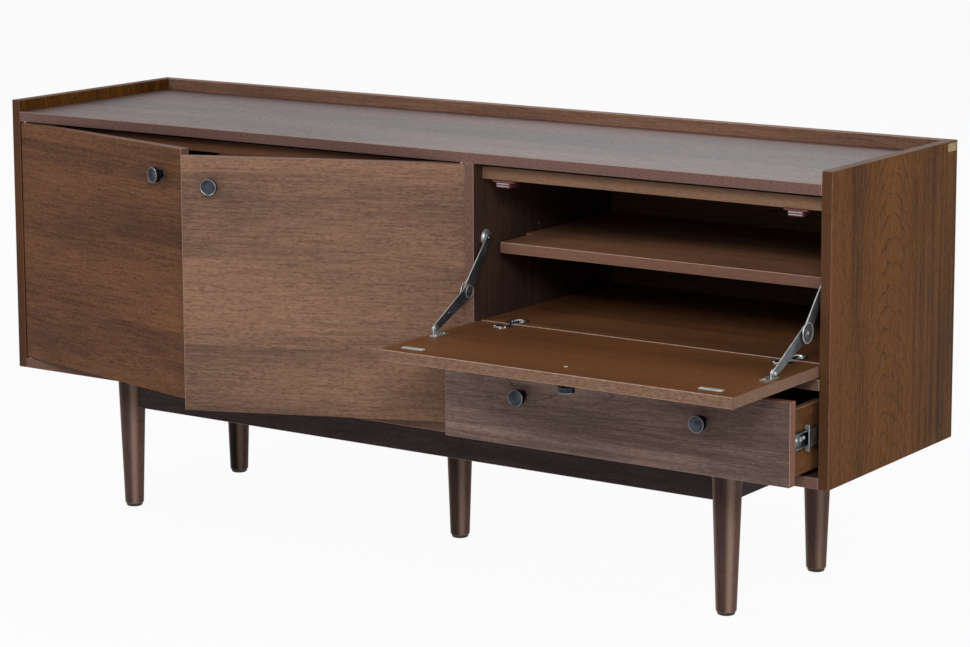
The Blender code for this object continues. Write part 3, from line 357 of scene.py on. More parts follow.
def draw_screw_heads(tree):
    """Screw heads on points: a low cone with a cross cut in it, turned to face one way."""
    given = tree.nodes.new("NodeGroupInput").outputs

    def times(size, share):
        return maths(tree, "MULTIPLY", given[size], share)

    cone = add(tree, "GeometryNodeMeshCone", {
        "Vertices": 20, "Radius Top": times("Head Radius", 0.66), "Radius Bottom": given["Head Radius"],
        "Depth": given["Head Height"]})
    cut = add(tree, "GeometryNodeMeshBoolean", {"Mesh 1": cone.outputs["Mesh"]}, operation="DIFFERENCE")
    long_side = times("Head Radius", 0.95)
    short_side = times("Head Radius", 0.22)
    deep = times("Head Height", 1.2)
    for sides in ((long_side, short_side, deep), (short_side, long_side, deep)):
        bar = add(tree, "GeometryNodeMeshCube", {"Size": join_axes(tree, *sides)}).outputs["Mesh"]
        lift = join_axes(tree, 0.0, 0.0, given["Head Height"])
        raised = add(tree, "GeometryNodeTransform", {"Geometry": bar, "Translation": lift})
        tree.links.new(raised.outputs[0], cut.inputs["Mesh 2"])
    spin = add(tree, "FunctionNodeRandomValue", {3: math.pi, "Seed": 5}, data_type="FLOAT").outputs[1]
    facing = add(tree, "FunctionNodeRotateRotation", {
        0: given["Facing"], 1: join_axes(tree, 0.0, 0.0, spin)}, rotation_space="LOCAL")
    copies(tree, cut.outputs[0], facing.outputs[0])


def copies(tree, shape, rotation=(0.0, 0.0, 0.0)):
    """Set a shape on each point, make it real, give it its finish and put it out."""
    given = tree.nodes.new("NodeGroupInput").outputs
    put = add(tree, "GeometryNodeInstanceOnPoints", {
        "Points": given["Geometry"], "Instance": shape, "Rotation": rotation}).outputs[0]
    real = add(tree, "GeometryNodeRealizeInstances", {0: put}).outputs[0]
    painted = add(tree, "GeometryNodeSetMaterial", {"Geometry": real, "Material": given["Finish"]})
    put_out(tree, painted.outputs[0])


def grow(name, points, tree, **values):
    """Run a tree on a cloud of points and keep the result as a plain mesh."""
    seeds = bpy.data.meshes.new(name)
    seeds.from_pydata([tuple(point) for point in points], [], [])
    piece = bpy.data.objects.new(name, seeds)
    bpy.context.scene.collection.objects.link(piece)
    growth = piece.modifiers.new("growth", "NODES")
    growth.node_group = tree
    for item in tree.interface.items_tree:
        label = item.name.lower().replace(" ", "_")
        if item.in_out == "INPUT" and label in values:
            growth[item.identifier] = values[label]
    bpy.context.view_layer.update()
    graph = bpy.context.evaluated_depsgraph_get()
    grown = bpy.data.meshes.new_from_object(piece.evaluated_get(graph), depsgraph=graph)
    piece.modifiers.clear()
    piece.data = grown
    return piece


screw_heads = node_group("screw_heads", "GeometryNodeTree", {
    "Geometry": "Geometry", "Head Radius": 0.0035, "Head Height": 0.0012, "Facing": (0.0, 0.0, 0.0),
    "Finish": "Material"}, {"Geometry": "Geometry"})
draw_screw_heads(screw_heads)


def screws(name, body, points, facing, finish, radius, height, shut=None):
    """Screw heads at points on a body; facing turns their tops from +Z, and shut stands them open."""
    piece = grow(name, points, screw_heads, head_radius=radius, head_height=height, facing=facing,
                 finish=finish)
    if shut is not None:
        stand_open(piece, shut)
    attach(piece, body)


back_low, back_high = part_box("back_panel")
row_inset = 0.009
edge_inset = 0.0045
row_count = 9
side_level = 0.15
back_screws = []
for step in range(row_count):
    x = back_low.x + row_inset + (back_high.x - back_low.x - 2 * row_inset) * step / (row_count - 1)
    back_screws += [(x, back_high.y, z) for z in (back_low.z + edge_inset, back_high.z - edge_inset)]
for z in (back_low.z + side_level, back_high.z - side_level):
    back_screws += [(x, back_high.y, z) for x in (back_low.x + edge_inset, back_high.x - edge_inset)]
screws("back_panel_screws", "carcass", back_screws, (-math.pi / 2, 0, 0), dark_screw, 0.0034, 0.0010)


# Shelf pins. Turned pins of nickel-plated steel, their ends rounded, stand in holes in the walls
# and carry both ends of each shelf.
def kept(name, shape):
    """A finished mesh as an object, shaded smooth between its sharp edges."""
    bmesh.ops.recalc_face_normals(shape, faces=shape.faces)
    mesh = bpy.data.meshes.new(name)
    shape.to_mesh(mesh)
    shape.free()
    mesh.shade_smooth()
    mesh.set_sharp_from_angle(angle=math.radians(35))
    piece = bpy.data.objects.new(name, mesh)
    bpy.context.scene.collection.objects.link(piece)
    return piece


def around(middle, radius, first, last, steps):
    """Points on an arc about a middle, from a first to a last angle."""
    angles = [first + (last - first) * step / steps for step in range(steps + 1)]
    return [(middle[0] + radius * math.cos(angle), middle[1] + radius * math.sin(angle)) for angle in angles]


def turned(name, profile, at, towards, facets=48):
    """A turned piece: profile lists (radius, distance from at). It starts and ends on the axis, or else
    goes once round the section of a ring."""
    shape = bmesh.new()
    stand = Matrix.Translation(at) @ Vector(towards).to_track_quat("Z", "Y").to_matrix().to_4x4()
    rings = []
    for radius, height in profile:
        points = around((0, 0), radius, 0, 2 * math.pi, facets)[:-1] if radius else [(0, 0)]
        rings.append([shape.verts.new(stand @ Vector((*point, height))) for point in points])
    after = rings[1:] if profile[0][0] == 0 else rings[1:] + rings[:1]
    for lower, upper in zip(rings, after):
        for step in range(facets):
            corners = [lower[step % len(lower)], lower[(step + 1) % facets % len(lower)],
                       upper[(step + 1) % facets % len(upper)], upper[step % len(upper)]]
            shape.faces.new(list(dict.fromkeys(corners)))
    return kept(name, shape)


def fit(piece, body, finish):
    """Give a piece its finish and let it ride on its body."""
    piece.data.materials.append(finish)
    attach(piece, body)


nickel = metal("nickel_plate", (196, 192, 184), (160, 156, 150), 0.22)
pin_radius = 0.0027
pin_reach = 0.0095
pin_rounding = 0.0006
pin_profile = [(0, 0), (pin_radius, 0), (pin_radius, pin_reach - pin_rounding),
               (pin_radius - pin_rounding, pin_reach), (0, pin_reach)]
for shelf in ("shelf_left", "shelf_right"):
    low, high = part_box(shelf)
    for row, y in (("front", -0.023), ("back", 0.150)):
        for side, wall, towards in (("left", low.x + 0.010, 1), ("right", high.x - 0.010, -1)):
            foot = (wall, y, low.z + 0.0025)
            pin = turned(f"{shelf}_pin_{row}_{side}", pin_profile, foot, (towards, 0, 0), 24)
            fit(pin, "carcass", nickel)


# Leg frame. Five turned legs of solid oak, tapering to the foot, stand on black nylon glides;
# four aprons run between the outer legs.
for node, axes, number in (("front_apron", "XZY", 61.0), ("back_apron", "XZY", 64.0),
                           ("side_apron_left", "YZX", 67.0), ("side_apron_right", "YZX", 70.0)):
    dress(node, oak(
        "oak_" + node, axes, tree=number, heart=0.215, arch_step=0.28, arch_half_width=0.030, flank_rings=3.0,
        line_strength=0.6, **shades((82, 67, 66), (57, 47, 48), (34, 28, 30))))


def moulded(name, colour, roughness):
    """Moulded plastic with a fine grained skin."""
    surface, tree, shader = fresh_material(name)
    place = tree.nodes.new("ShaderNodeTexCoord").outputs["Object"]
    skin = ripple(tree, place, (900.0, 900.0, 900.0))
    patch = between(tree, ripple(tree, place, (60.0, 60.0, 60.0)), -0.25, 0.25)
    worn = tuple(min(1.0, level * 1.35) for level in shade(*colour)[:3]) + (1.0,)
    tree.links.new(stain(tree, patch, shade(*colour), worn), shader.inputs["Base Color"])
    tree.links.new(maths(tree, "MULTIPLY_ADD", skin, 0.20, roughness), shader.inputs["Roughness"])
    carve(tree, shader, skin, 0.00004)
    return surface


glide_black = moulded("glide_nylon", (26, 25, 25), 0.55)
head_radius = 0.0255
leg_top = 0.2497
foot_radius = 0.01725
foot_round = 0.0025
glide_radius = 0.0150
glide_height = 0.0055
glide_profile = [
    (0, 0), (glide_radius - 0.0022, 0), (glide_radius - 0.0006, 0.0010), (glide_radius, 0.0026),
    (glide_radius, glide_height - 0.0002), (0, glide_height - 0.0002)]
foot_middle = (foot_radius - foot_round, glide_height + foot_round)
leg_profile = [(0, glide_height), *around(foot_middle, foot_round, -math.pi / 2, 0, 4),
               (head_radius, leg_top), (0, leg_top)]
frame_stain = shades((106, 80, 73), (68, 52, 49), (34, 25, 25))
# Each leg's stain is scaled by its own level of painted light and shade. The back left and centre legs, which
# stand in the shade under the case, are painted darkest.
for place, number, strength in (
        ("front_left", 71.0, 1.0), ("front_right", 73.0, 0.8), ("back_left", 75.0, 0.25),
        ("back_right", 77.0, 1.35), ("centre", 79.0, 0.6)):
    node = "leg_" + place
    leg_stain_and_shade = {}
    for label, colour in frame_stain.items():
        leg_stain_and_shade[label] = (*(level * strength for level in colour[:3]), 1.0)
    low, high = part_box(node)
    middle = ((low.x + high.x) / 2, (low.y + high.y) / 2, 0)
    leg = turned(node + "_turned", leg_profile, middle, (0, 0, 1), 72)
    fit(leg, "carcass", oak(
        "oak_" + node, "ZXY", tree=number, heart=middle[0] + 0.004, arch_step=0.15, arch_half_width=0.012,
        flank_rings=2.2, line_strength=0.55, **leg_stain_and_shade))
    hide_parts(node)
    glide = turned(node + "_glide", glide_profile, middle, (0, 0, 1))
    fit(glide, "carcass", glide_black)


# Doors. Two lipped and veneered leaves that turn on pins in their top and bottom edges. Grain runs
# along the width in leaves of veneer, and a steel strike plate faces the catch.
def swing(joint_name, limit):
    """A joint's pivot, axis and the turn from rest to its limit 0 or 1."""
    joint = next(joint for joint in frame["joints"] if joint["name"] == joint_name)
    return Vector(joint["pos_m"]), Vector(joint["axis"]), math.radians(joint["range_deg"][limit])


def shutting(shut):
    """The matrix that brings a leaf from where it stands to where it is shut."""
    pivot, axis, turn = shut
    return Matrix.Translation(pivot) @ Matrix.Rotation(turn, 4, axis) @ Matrix.Translation(-pivot)


def stand_open(piece, shut):
    """Move a piece drawn on a shut leaf to where the leaf stands."""
    piece.data.transform(shutting(shut).inverted())


def slab(name, outline, axis, start, end, soft=0.0):
    """An outline extruded along an axis, its rims softened."""
    shape = bmesh.new()
    near, far = ([shape.verts.new((*pair[:axis], along, *pair[axis:])) for pair in outline]
                 for along in (start, end))
    shape.faces.new(near)
    shape.faces.new(far[::-1])
    for step in range(len(outline)):
        after = (step + 1) % len(outline)
        shape.faces.new((near[step], near[after], far[after], far[step]))
    bmesh.ops.recalc_face_normals(shape, faces=shape.faces)
    if soft:
        rims = [edge for edge in shape.edges if len(edge.link_faces) == 2
                and any(len(face.verts) == len(outline) for face in edge.link_faces)]
        bmesh.ops.bevel(shape, geom=rims, offset=soft, segments=2, profile=0.5, affect="EDGES")
    return kept(name, shape)


def plate(name, low, high, rounding, soft=0.0, steps=4):
    """A thin flat plate between two corners, rounded at the corners of its widest face."""
    thin = min(range(3), key=lambda axis: high[axis] - low[axis])
    right, up = (axis for axis in range(3) if axis != thin)
    outline = []
    for number, (x, y) in enumerate(((high[right], high[up]), (low[right], high[up]),
                                     (low[right], low[up]), (high[right], low[up]))):
        middle = (x - rounding if x == high[right] else x + rounding,
                  y - rounding if y == high[up] else y + rounding)
        outline += around(middle, rounding, number * math.pi / 2, (number + 1) * math.pi / 2, steps)
    return slab(name, outline, thin, low[thin], high[thin], soft)


left_shut = swing("door_left_hinge", 0)
right_shut = swing("door_right_hinge", 0)
door_figure = dict(
    leaf_start=0.235, leaf_width=0.150, leaf_drift=0.09, line_strength=0.30, streak_strength=0.85,
    band_strength=0.4, pore_strength=0.5)
dress("door_panel_left", oak(
    "oak_door_left", "XZY", left_shut, tree=82.0, leaf_contrast=0.18, arch_step=0.34,
    arch_half_width=0.055, flank_rings=4.0, cloud_strength=1.4, **door_figure,
    **shades((132, 89, 61), (77, 51, 37), (38, 25, 19))))
# The right door's shades are paler than the left door's as painted light, standing in for the brighter light
# and reflection on it.
dress("door_panel_right", oak(
    "oak_door_right", "XZY", right_shut, tree=91.0, leaf_contrast=0.22, arch_step=0.40,
    arch_half_width=0.060, flank_rings=3.6, cloud_strength=1.3, **door_figure,
    **shades((157, 120, 97), (101, 78, 67), (50, 37, 31))))
for place in ("top_left", "foot_left", "top_right", "foot_right"):
    dress("pivot_pin_" + place, zinc)

strike_steel = metal("strike_steel", (206, 212, 206), (182, 190, 184), 0.45, 0.35)
catch_low, catch_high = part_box("catch_doors")
catch_middle = (catch_low.x + catch_high.x) / 2
leaf_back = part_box("side_panel_right")[0].y + 0.018
strike_face = leaf_back + 0.0010
strike_level = (catch_low.z + catch_high.z) / 2


def strike_plate(leaf, body, x, shut):
    """A strike plate on the inner face of a leaf, opposite its catch."""
    strike = plate("strike_plate_" + leaf, (x - 0.0205, leaf_back, strike_level - 0.0065),
                   (x + 0.0205, strike_face, strike_level + 0.0065), 0.003, 0.0002)
    stand_open(strike, shut)
    fit(strike, body, strike_steel)


strike_plate("door_left", "door_left", catch_middle - 0.022, left_shut)
strike_plate("door_right", "door_right", catch_middle + 0.022, right_shut)


# Knobs. Turned in steel, blackened, with a dished face inside a bright rim, and held by a screw
# through the leaf.
blackened = metal("blackened_steel", (52, 56, 62), (34, 38, 43), 0.30, 0.9)
dish_steel = metal("brushed_dark_steel", (74, 78, 84), (42, 45, 50), 0.26)
bright_rim = metal("bright_rim", (160, 166, 172), (120, 126, 134), 0.30)
knob_reach = 0.0222
leaf_thickness = 0.0181


def knob_profiles():
    """The sections of a knob's body, rim and dish, and of its screw head, from the leaf's outer face."""
    radius = 0.0135
    neck = 0.0075
    under = knob_reach - 0.0105
    inner = radius - 0.0007
    dish = knob_reach - 0.0022
    body = [(0, 0.0004), (neck + 0.0015, 0.0004), (neck + 0.0002, 0.0020), (neck, under - 0.0015),
            (neck + 0.0012, under - 0.0002), (radius - 0.0012, under), (radius, under + 0.0012),
            (radius, knob_reach - 0.0009), (radius - 0.00056, knob_reach - 0.0009), (inner, dish - 0.0004),
            (0, dish - 0.0004)]
    rim = [(inner, knob_reach - 0.0010), (radius + 0.0001, knob_reach - 0.0010),
           (radius + 0.0001, knob_reach - 0.0003), (radius - 0.00028, knob_reach),
           (inner, knob_reach - 0.0002)]
    face = [(0, dish - 0.0005), (inner - 0.0001, dish - 0.0005), (inner - 0.0001, knob_reach - 0.0004),
            (radius * 0.80, knob_reach - 0.0007), (radius * 0.30, knob_reach - 0.00187),
            (radius * 0.12, dish), (0, dish)]
    head = [(0, 0), (0.0044, 0), (0.0044, 0.0006), (0.0036, 0.0016), (0.0020, 0.0022), (0, 0.0023)]
    return body, rim, face, head


def knob(name, body, node, shut=None):
    """A knob in place of its plain one: body, bright rim, dished face, and screw head behind the leaf."""
    corners = [vertex.co for vertex in frame["nodes"][node].data.vertices]
    if shut is not None:
        corners = [shutting(shut) @ corner for corner in corners]
    low = Vector(map(min, zip(*corners)))
    high = Vector(map(max, zip(*corners)))
    at = Vector(((low.x + high.x) / 2, low.y + knob_reach, (low.z + high.z) / 2))
    turning, rim, face, head = knob_profiles()
    for part, profile, start, way, facets, finish, slot in (
            ("turned", turning, at, -1, 64, blackened, "gunmetal"),
            ("rim", rim, at, -1, 64, bright_rim, "gunmetal"),
            ("dish", face, at, -1, 64, dish_steel, "gunmetal"),
            ("screw_head", head, at + Vector((0, leaf_thickness, 0)), 1, 32, nickel, "zinc")):
        piece = turned(f"knob_{name}_{part}", profile, start, (0, way, 0), facets)
        if shut is not None:
            stand_open(piece, shut)
        fit(piece, body, finish)
        if part == "turned":
            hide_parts(node)


knob("door_left", "door_left", "knob_door_left", left_shut)
knob("door_right", "door_right", "knob_door_right", right_shut)


# Drop flap. A lipped leaf, veneered along the width, that turns on two concealed hinges with bright steel
# cups and carries two strike plates. Its inner and outer faces differ in shade as painted light: the inside
# is painted warmer, the outside paler.
flap_shut = swing("flap_hinge", 1)
dress("flap_panel", oak(
    "oak_flap", "XZY", flap_shut, (shade(146, 111, 88), shade(94, 72, 61)), tree=101.0, leaf_start=0.42,
    leaf_width=0.150, leaf_drift=0.06, leaf_contrast=0.2, arch_step=0.30, arch_half_width=0.060,
    flank_rings=3.6, line_strength=0.25, pore_strength=0.22, sheen_level=0.40, edge_lift=0.8,
    **shades((124, 80, 48), (92, 60, 38), (56, 36, 24), edge=(146, 118, 102))))
knob("flap", "flap", "knob_flap", flap_shut)
for side in ("left", "right"):
    low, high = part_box("catch_flap_" + side)
    x = (low.x + high.x) / 2
    strike_plate("flap_" + side, "flap", x, flap_shut)
    screws("strike_screws_flap_" + side, "flap",
           [(x + reach, strike_face, strike_level) for reach in (-0.0165, 0.0165)],
           (-math.pi / 2, 0, 0), strike_steel, 0.0026, 0.0006, flap_shut)

hinge_plating = metal("hinge_plating", (236, 237, 236), (190, 193, 196), 0.22)
cup_shadow = metal("hinge_cup_inside", (92, 94, 98), (60, 62, 66), 0.40)
floor_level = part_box("compartment_floor")[1].z
flap_axle = flap_shut[0]
cup_radius = 0.0175
cup_profile = [
    (0, -0.0113), (cup_radius - 0.0001, -0.0113), (cup_radius - 0.0001, -0.0002),
    (cup_radius + 0.0012, -0.0001), (cup_radius + 0.0012, 0.0005), (cup_radius + 0.0004, 0.0010),
    (cup_radius - 0.0014, 0.0010), (cup_radius - 0.0022, 0.0002), (cup_radius - 0.0026, -0.0080),
    (0, -0.0080)]
lug_profile = [(0, -0.0081), (0.0036, -0.0081), (0.0036, -0.0010), (0.0030, -0.0004), (0, -0.0004)]
lug_reach = 0.0106
link_half = 0.0042
link_foot = floor_level - 0.0078
disc_radius = 0.0150
disc_y = flap_axle.y - 0.0175
notch_y = flap_axle.y - 0.0122
for side in ("left", "right"):
    low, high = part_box("flap_hinge_arm_" + side)
    x = (low.x + high.x) / 2
    cup_y = high.y - cup_radius
    cup = turned("hinge_cup_" + side, cup_profile, (x, cup_y, floor_level), (0, 0, 1), 64)
    fit(cup, "carcass", hinge_plating)
    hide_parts("flap_hinge_arm_" + side)

    eye_radius = flap_axle.y - low.y
    link = [(cup_y + 0.0120, link_foot), (cup_y + 0.0120, floor_level - 0.0030),
            (cup_y + 0.0060, floor_level + 0.0004), (cup_y - 0.0150, floor_level + 0.0004),
            (flap_axle.y + 0.0010, flap_axle.z + eye_radius),
            *around(flap_axle.yz, eye_radius, math.pi / 2, 1.5 * math.pi, 8)[1:],
            (cup_y - cup_radius + 0.003, link_foot)]
    arm = slab("hinge_link_" + side, link, 0, x - link_half, x + link_half, 0.0003)
    fit(arm, "carcass", hinge_plating)
    for label, reach in (("_a", -lug_reach), ("_b", lug_reach)):
        lug = turned("hinge_lug_" + side + label, lug_profile, (x + reach, cup_y, floor_level), (0, 0, 1), 24)
        fit(lug, "carcass", hinge_plating)
    screws("hinge_screws_floor_" + side, "carcass",
           [(x + reach, cup_y, floor_level - 0.0002) for reach in (-lug_reach, lug_reach)],
           (0, 0, 0), hinge_plating, 0.0031, 0.0012)

    dress("flap_hinge_block_" + side, hinge_plating)
    # The well is a thin dark disc laid on the flange, a painted shadow standing in for a recess.
    for label, narrower, low_rise, high_rise, finish in (
            ("flange", 0.0, 0.0001, 0.0009, hinge_plating), ("well", 0.0022, 0.0008, 0.0010, cup_shadow)):
        radius = disc_radius - narrower
        notch_half = link_half + 0.0012 + narrower
        notch_turn = math.acos(notch_half / radius)
        outline = [(x + notch_half, notch_y - narrower), (x - notch_half, notch_y - narrower),
                   *around((x, disc_y), radius, math.pi - notch_turn, 2 * math.pi + notch_turn, 48)]
        disc = slab(f"hinge_{label}_{side}", outline, 2, floor_level + low_rise, floor_level + high_rise,
                    0.0001)
        fit(disc, "flap", finish)
    cradle = plate("hinge_cradle_" + side, (x - 0.0062, disc_y - 0.0110, floor_level + 0.0008),
                   (x + 0.0062, notch_y - 0.0010, floor_level + 0.0022), 0.0020, 0.0003)
    fit(cradle, "flap", hinge_plating)
    screws("hinge_screws_flap_" + side, "flap",
           [(x + reach, disc_y - 0.0030, floor_level + 0.0009) for reach in (-0.0104, 0.0104)],
           (0, 0, 0), hinge_plating, 0.0028, 0.0012)


# Folding stays. On each side two flat arms of nickel-plated steel meet under a round disc at the
# elbow, hang from a domed boss on the wall and end at an angle bracket screwed to the flap.
stay_steel = metal("stay_steel", (92, 95, 100), (66, 70, 76), 0.32, 0.5)
# Pale metal for the stays' edges and rims, a painted highlight.
stay_edge = metal("stay_edge", (205, 204, 200), (168, 168, 166), 0.30, 0.5)
upper_length = 0.1035
lower_length = 0.108
end_radius = 0.0065
elbow_radius = 0.0125
arm_thickness = 0.002
wall_pivot = Vector(swing("stay_upper_pivot", 0)[0].yz)
flap_pivot = Vector(swing("stay_lower_pivot", 0)[0].yz)
run = flap_pivot - wall_pivot
cosine = (run.length ** 2 + upper_length ** 2 - lower_length ** 2) / (2 * run.length * upper_length)
heading = math.atan2(run.y, run.x) + math.acos(cosine)
elbow = wall_pivot + upper_length * Vector((math.cos(heading), math.sin(heading)))


def stay_arm(name, side, pivot, near, far):
    """One arm, widening from the round end at its own pivot to the one at the elbow, its sheared edges
    painted paler than its faces as a painted highlight."""
    way = elbow - pivot
    turn = math.atan2(way.y, way.x)
    spread = math.pi / 2 + math.asin((elbow_radius - end_radius) / way.length)
    outline = [*around(pivot, end_radius, turn + spread, turn + 2 * math.pi - spread, 24),
               *around(elbow, elbow_radius, turn - spread, turn + spread, 24)]
    arm = slab(f"stay_{name}_{side}", outline, 0, *sorted((near, far)), 0.0003)
    fit(arm, "stay_" + name, stay_steel)
    arm.data.materials.append(stay_edge)
    for face in arm.data.polygons:
        if abs(face.normal.x) < 0.95:
            face.material_index = 1
    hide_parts(f"stay_arm_{name}_{side}")


# Round pieces, turned about their pivots from distances to the wall. The rims of the boss, the disc and the
# cap are in paler metal, a painted highlight on their edges.
stay_rounds = (
    ("wall_boss", "carcass", wall_pivot, zinc, [
        (0, 0.0003), (0.0135, 0.0003), (0.0135, 0.0016), (0.0129, 0.0024), (0.0122, 0.0026),
        (0.0116, 0.0040), (0.0098, 0.0052), (0.0070, 0.0057), (0, 0.0057)]),
    ("boss_rim", "carcass", wall_pivot, stay_edge, [
        (0.0120, 0.0018), (0.0137, 0.0006), (0.0137, 0.0018), (0.0131, 0.0027), (0.0122, 0.0029)]),
    ("upper_rivet", "stay_upper", wall_pivot, nickel, [
        (0, 0.0079), (0.0035, 0.0079), (0.0034, 0.0086), (0.0027, 0.0093), (0.0014, 0.0096), (0, 0.0096)]),
    ("elbow_disc", "stay_upper", elbow, stay_steel, [
        (0, 0.0061), (0.0158, 0.0061), (0.0165, 0.0056), (0.0165, 0.0049), (0.0160, 0.0044), (0.0152, 0.0044),
        (0.0143, 0.0050), (0.0060, 0.0050), (0.0050, 0.0046), (0, 0.0046)]),
    ("disc_rim", "stay_upper", elbow, stay_edge, [
        (0.0152, 0.0044), (0.0159, 0.0042), (0.0167, 0.0047), (0.0167, 0.0060), (0.0152, 0.0060)]),
    ("elbow_rivet", "stay_upper", elbow, nickel, [
        (0, 0.0047), (0.0028, 0.0047), (0.0026, 0.0040), (0.0016, 0.0035), (0, 0.0034)]),
    ("elbow_cap", "stay_lower", elbow, stay_steel, [
        (0, 0.0104), (0.0105, 0.0104), (0.0105, 0.0116), (0.0100, 0.0121), (0.0092, 0.0121), (0.0084, 0.0115),
        (0.0046, 0.0115), (0.0040, 0.0119), (0, 0.0119)]),
    ("cap_rim", "stay_lower", elbow, stay_edge, [
        (0.0090, 0.0114), (0.0107, 0.0114), (0.0107, 0.0120), (0.0101, 0.0124), (0.0094, 0.0123)]),
    ("cap_rivet", "stay_lower", elbow, nickel, [
        (0, 0.0118), (0.0026, 0.0118), (0.0024, 0.0126), (0.0014, 0.0131), (0, 0.0131)]),
    ("foot_rivet", "stay_lower", flap_pivot, nickel, [
        (0, 0.0086), (0.0035, 0.0086), (0.0034, 0.0078), (0.0027, 0.0071), (0.0014, 0.0069), (0, 0.0069)]),
    ("middle_rivet", "stay_lower", flap_pivot.lerp(elbow, 0.42), nickel, [
        (0, 0.0104), (0.0024, 0.0104), (0.0022, 0.0110), (0.0012, 0.0113), (0, 0.0113)]),
    ("ear_rivet", "flap", flap_pivot, nickel, [
        (0, 0.0129), (0.0034, 0.0129), (0.0032, 0.0137), (0.0020, 0.0143), (0, 0.0144)]))
for side, towards in (("left", 1), ("right", -1)):
    low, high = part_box("stay_wall_bracket_" + side)
    wall = low.x - 0.0003 if towards == 1 else high.x + 0.0003
    for name, body, centre, finish, profile in stay_rounds:
        piece = turned(f"stay_{name}_{side}", profile, (wall, *centre), (towards, 0, 0), 64)
        fit(piece, body, finish)
        if name == "wall_boss":
            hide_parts("stay_wall_bracket_" + side)
    for name, pivot, gap in (("upper", wall_pivot, 0.0060), ("lower", flap_pivot, 0.0085)):
        stay_arm(name, side, pivot, wall + towards * gap, wall + towards * (gap + arm_thickness))
    dress("stay_flap_bracket_" + side, zinc)
    foot_x = wall + towards * 0.0205
    screws("stay_foot_screws_" + side, "flap",
           [(foot_x, flap_pivot.x + reach, floor_level + 0.0022) for reach in (-0.0115, 0.0115)],
           (0, 0, 0), nickel, 0.0036, 0.0015)


# Drawer. A front veneered along the width, with two knobs, on a box of brown-stained solid wood
# whose thin bottom lies in grooves.
dress("drawer_front", oak(
    "oak_drawer_front", "XZY", tree=113.0, heart=0.372, arch_step=0.100, arch_half_width=0.045,
    flank_rings=4.0, waver=0.9, line_strength=0.65, cloud_strength=2.8,
    **shades((160, 134, 124), (104, 84, 78), (50, 40, 40), edge=(156, 104, 78))))
drawer_stain = shades((126, 84, 52), (92, 60, 36), (60, 38, 24))
for node, axes, number, heart in (
        ("drawer_side_left", "YZX", 129.0, 0.30), ("drawer_side_right", "YZX", 130.0, 0.30),
        ("drawer_back", "XZY", 124.0, 0.30), ("drawer_bottom", "XYZ", 126.0, 0.0)):
    dress(node, oak(
        "oak_" + node, axes, tree=number, heart=heart, arch_step=0.11, arch_half_width=0.030,
        line_strength=0.45, **drawer_stain))
for side in ("left", "right"):
    knob("drawer_" + side, "drawer", "knob_drawer_" + side)


# Drawer slides. Three nested zinc-plated channels a side run on rows of steel balls; the inner one
# is screwed to the drawer and the middle one ends in a black buffer.
slide_balls = node_group("slide_balls", "GeometryNodeTree", {
    "Geometry": "Geometry", "Ball Radius": 0.0011, "Finish": "Material"}, {"Geometry": "Geometry"})
given = slide_balls.nodes.new("NodeGroupInput").outputs
ball = add(slide_balls, "GeometryNodeMeshIcoSphere", {"Subdivisions": 2, "Radius": given["Ball Radius"]})
copies(slide_balls, ball.outputs["Mesh"])

buffer_black = moulded("buffer_rubber", (34, 34, 36), 0.6)
ball_steel = metal("ball_steel", (226, 228, 230), (200, 204, 208), 0.12)
slide_steel = metal("slide_zinc", (140, 148, 150), (92, 100, 104), 0.34)
ball_radius = 0.0011
ball_inset = 0.0016
ball_pitch = 0.006
ball_count = 12
buffer_rise = 0.0068
buffer_depth = 0.0082
lip_depth = 0.0063
for side, towards in (("left", 1), ("right", -1)):
    for member in ("outer", "middle", "inner"):
        dress("slide_" + member + "_" + side, slide_steel)
    low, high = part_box("slide_middle_" + side)
    inner_low, inner_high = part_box("slide_inner_" + side)
    lip = high.x if towards == 1 else low.x
    balls = [(lip - towards * ball_inset, low.y + 0.006 + step * ball_pitch, level)
             for level in (inner_low.z - 0.0002, inner_high.z + 0.0002) for step in range(ball_count)]
    row = grow("slide_balls_" + side, balls, slide_balls, ball_radius=ball_radius, finish=ball_steel)
    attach(row, "slide_middle")

    back = lip - towards * buffer_depth
    clear = lip - towards * lip_depth
    cap = [(lip, high.z + buffer_rise), (back, high.z + buffer_rise), (back, low.z - buffer_rise),
           (lip, low.z - buffer_rise), (lip, inner_low.z - 0.0006), (clear, inner_low.z - 0.0006),
           (clear, inner_high.z + 0.0006), (lip, inner_high.z + 0.0006)]
    for name, near, far, soft, finish, slot in (
            ("slide_buffer_", 0.0028, 0.0002, 0.0003, buffer_black, "gunmetal"),
            ("slide_buffer_plate_", 0.0036, 0.0029, 0.0001, zinc, "zinc")):
        fit(slab(name + side, cap, 1, low.y - near, low.y - far, soft), "slide_middle", finish)

    web = inner_high.x - 0.0012 if towards == 1 else inner_low.x + 0.0012
    middle = (inner_low.z + inner_high.z) / 2
    screws("slide_screws_" + side, "drawer",
           [(web, inner_low.y + along, middle) for along in (0.016, 0.040, 0.20, 0.31)],
           (0, -towards * math.pi / 2, 0), zinc, 0.0036, 0.0016)
    left, right = sorted((web, web - towards * 0.0022))
    latch = plate("slide_latch_" + side, (left, inner_low.y + 0.0235, middle - 0.0038),
                  (right, inner_low.y + 0.0330, middle + 0.0038), 0.0010, 0.0003)
    fit(latch, "drawer", zinc)


# Catches. Magnets between two thin steel pole plates, in reddish-brown plastic housings whose thin
# ears are screwed up under the rails.
housing_brown = moulded("catch_housing", (92, 47, 46), 0.36)
pole_steel = metal("pole_steel", (196, 196, 200), (150, 152, 158), 0.30)


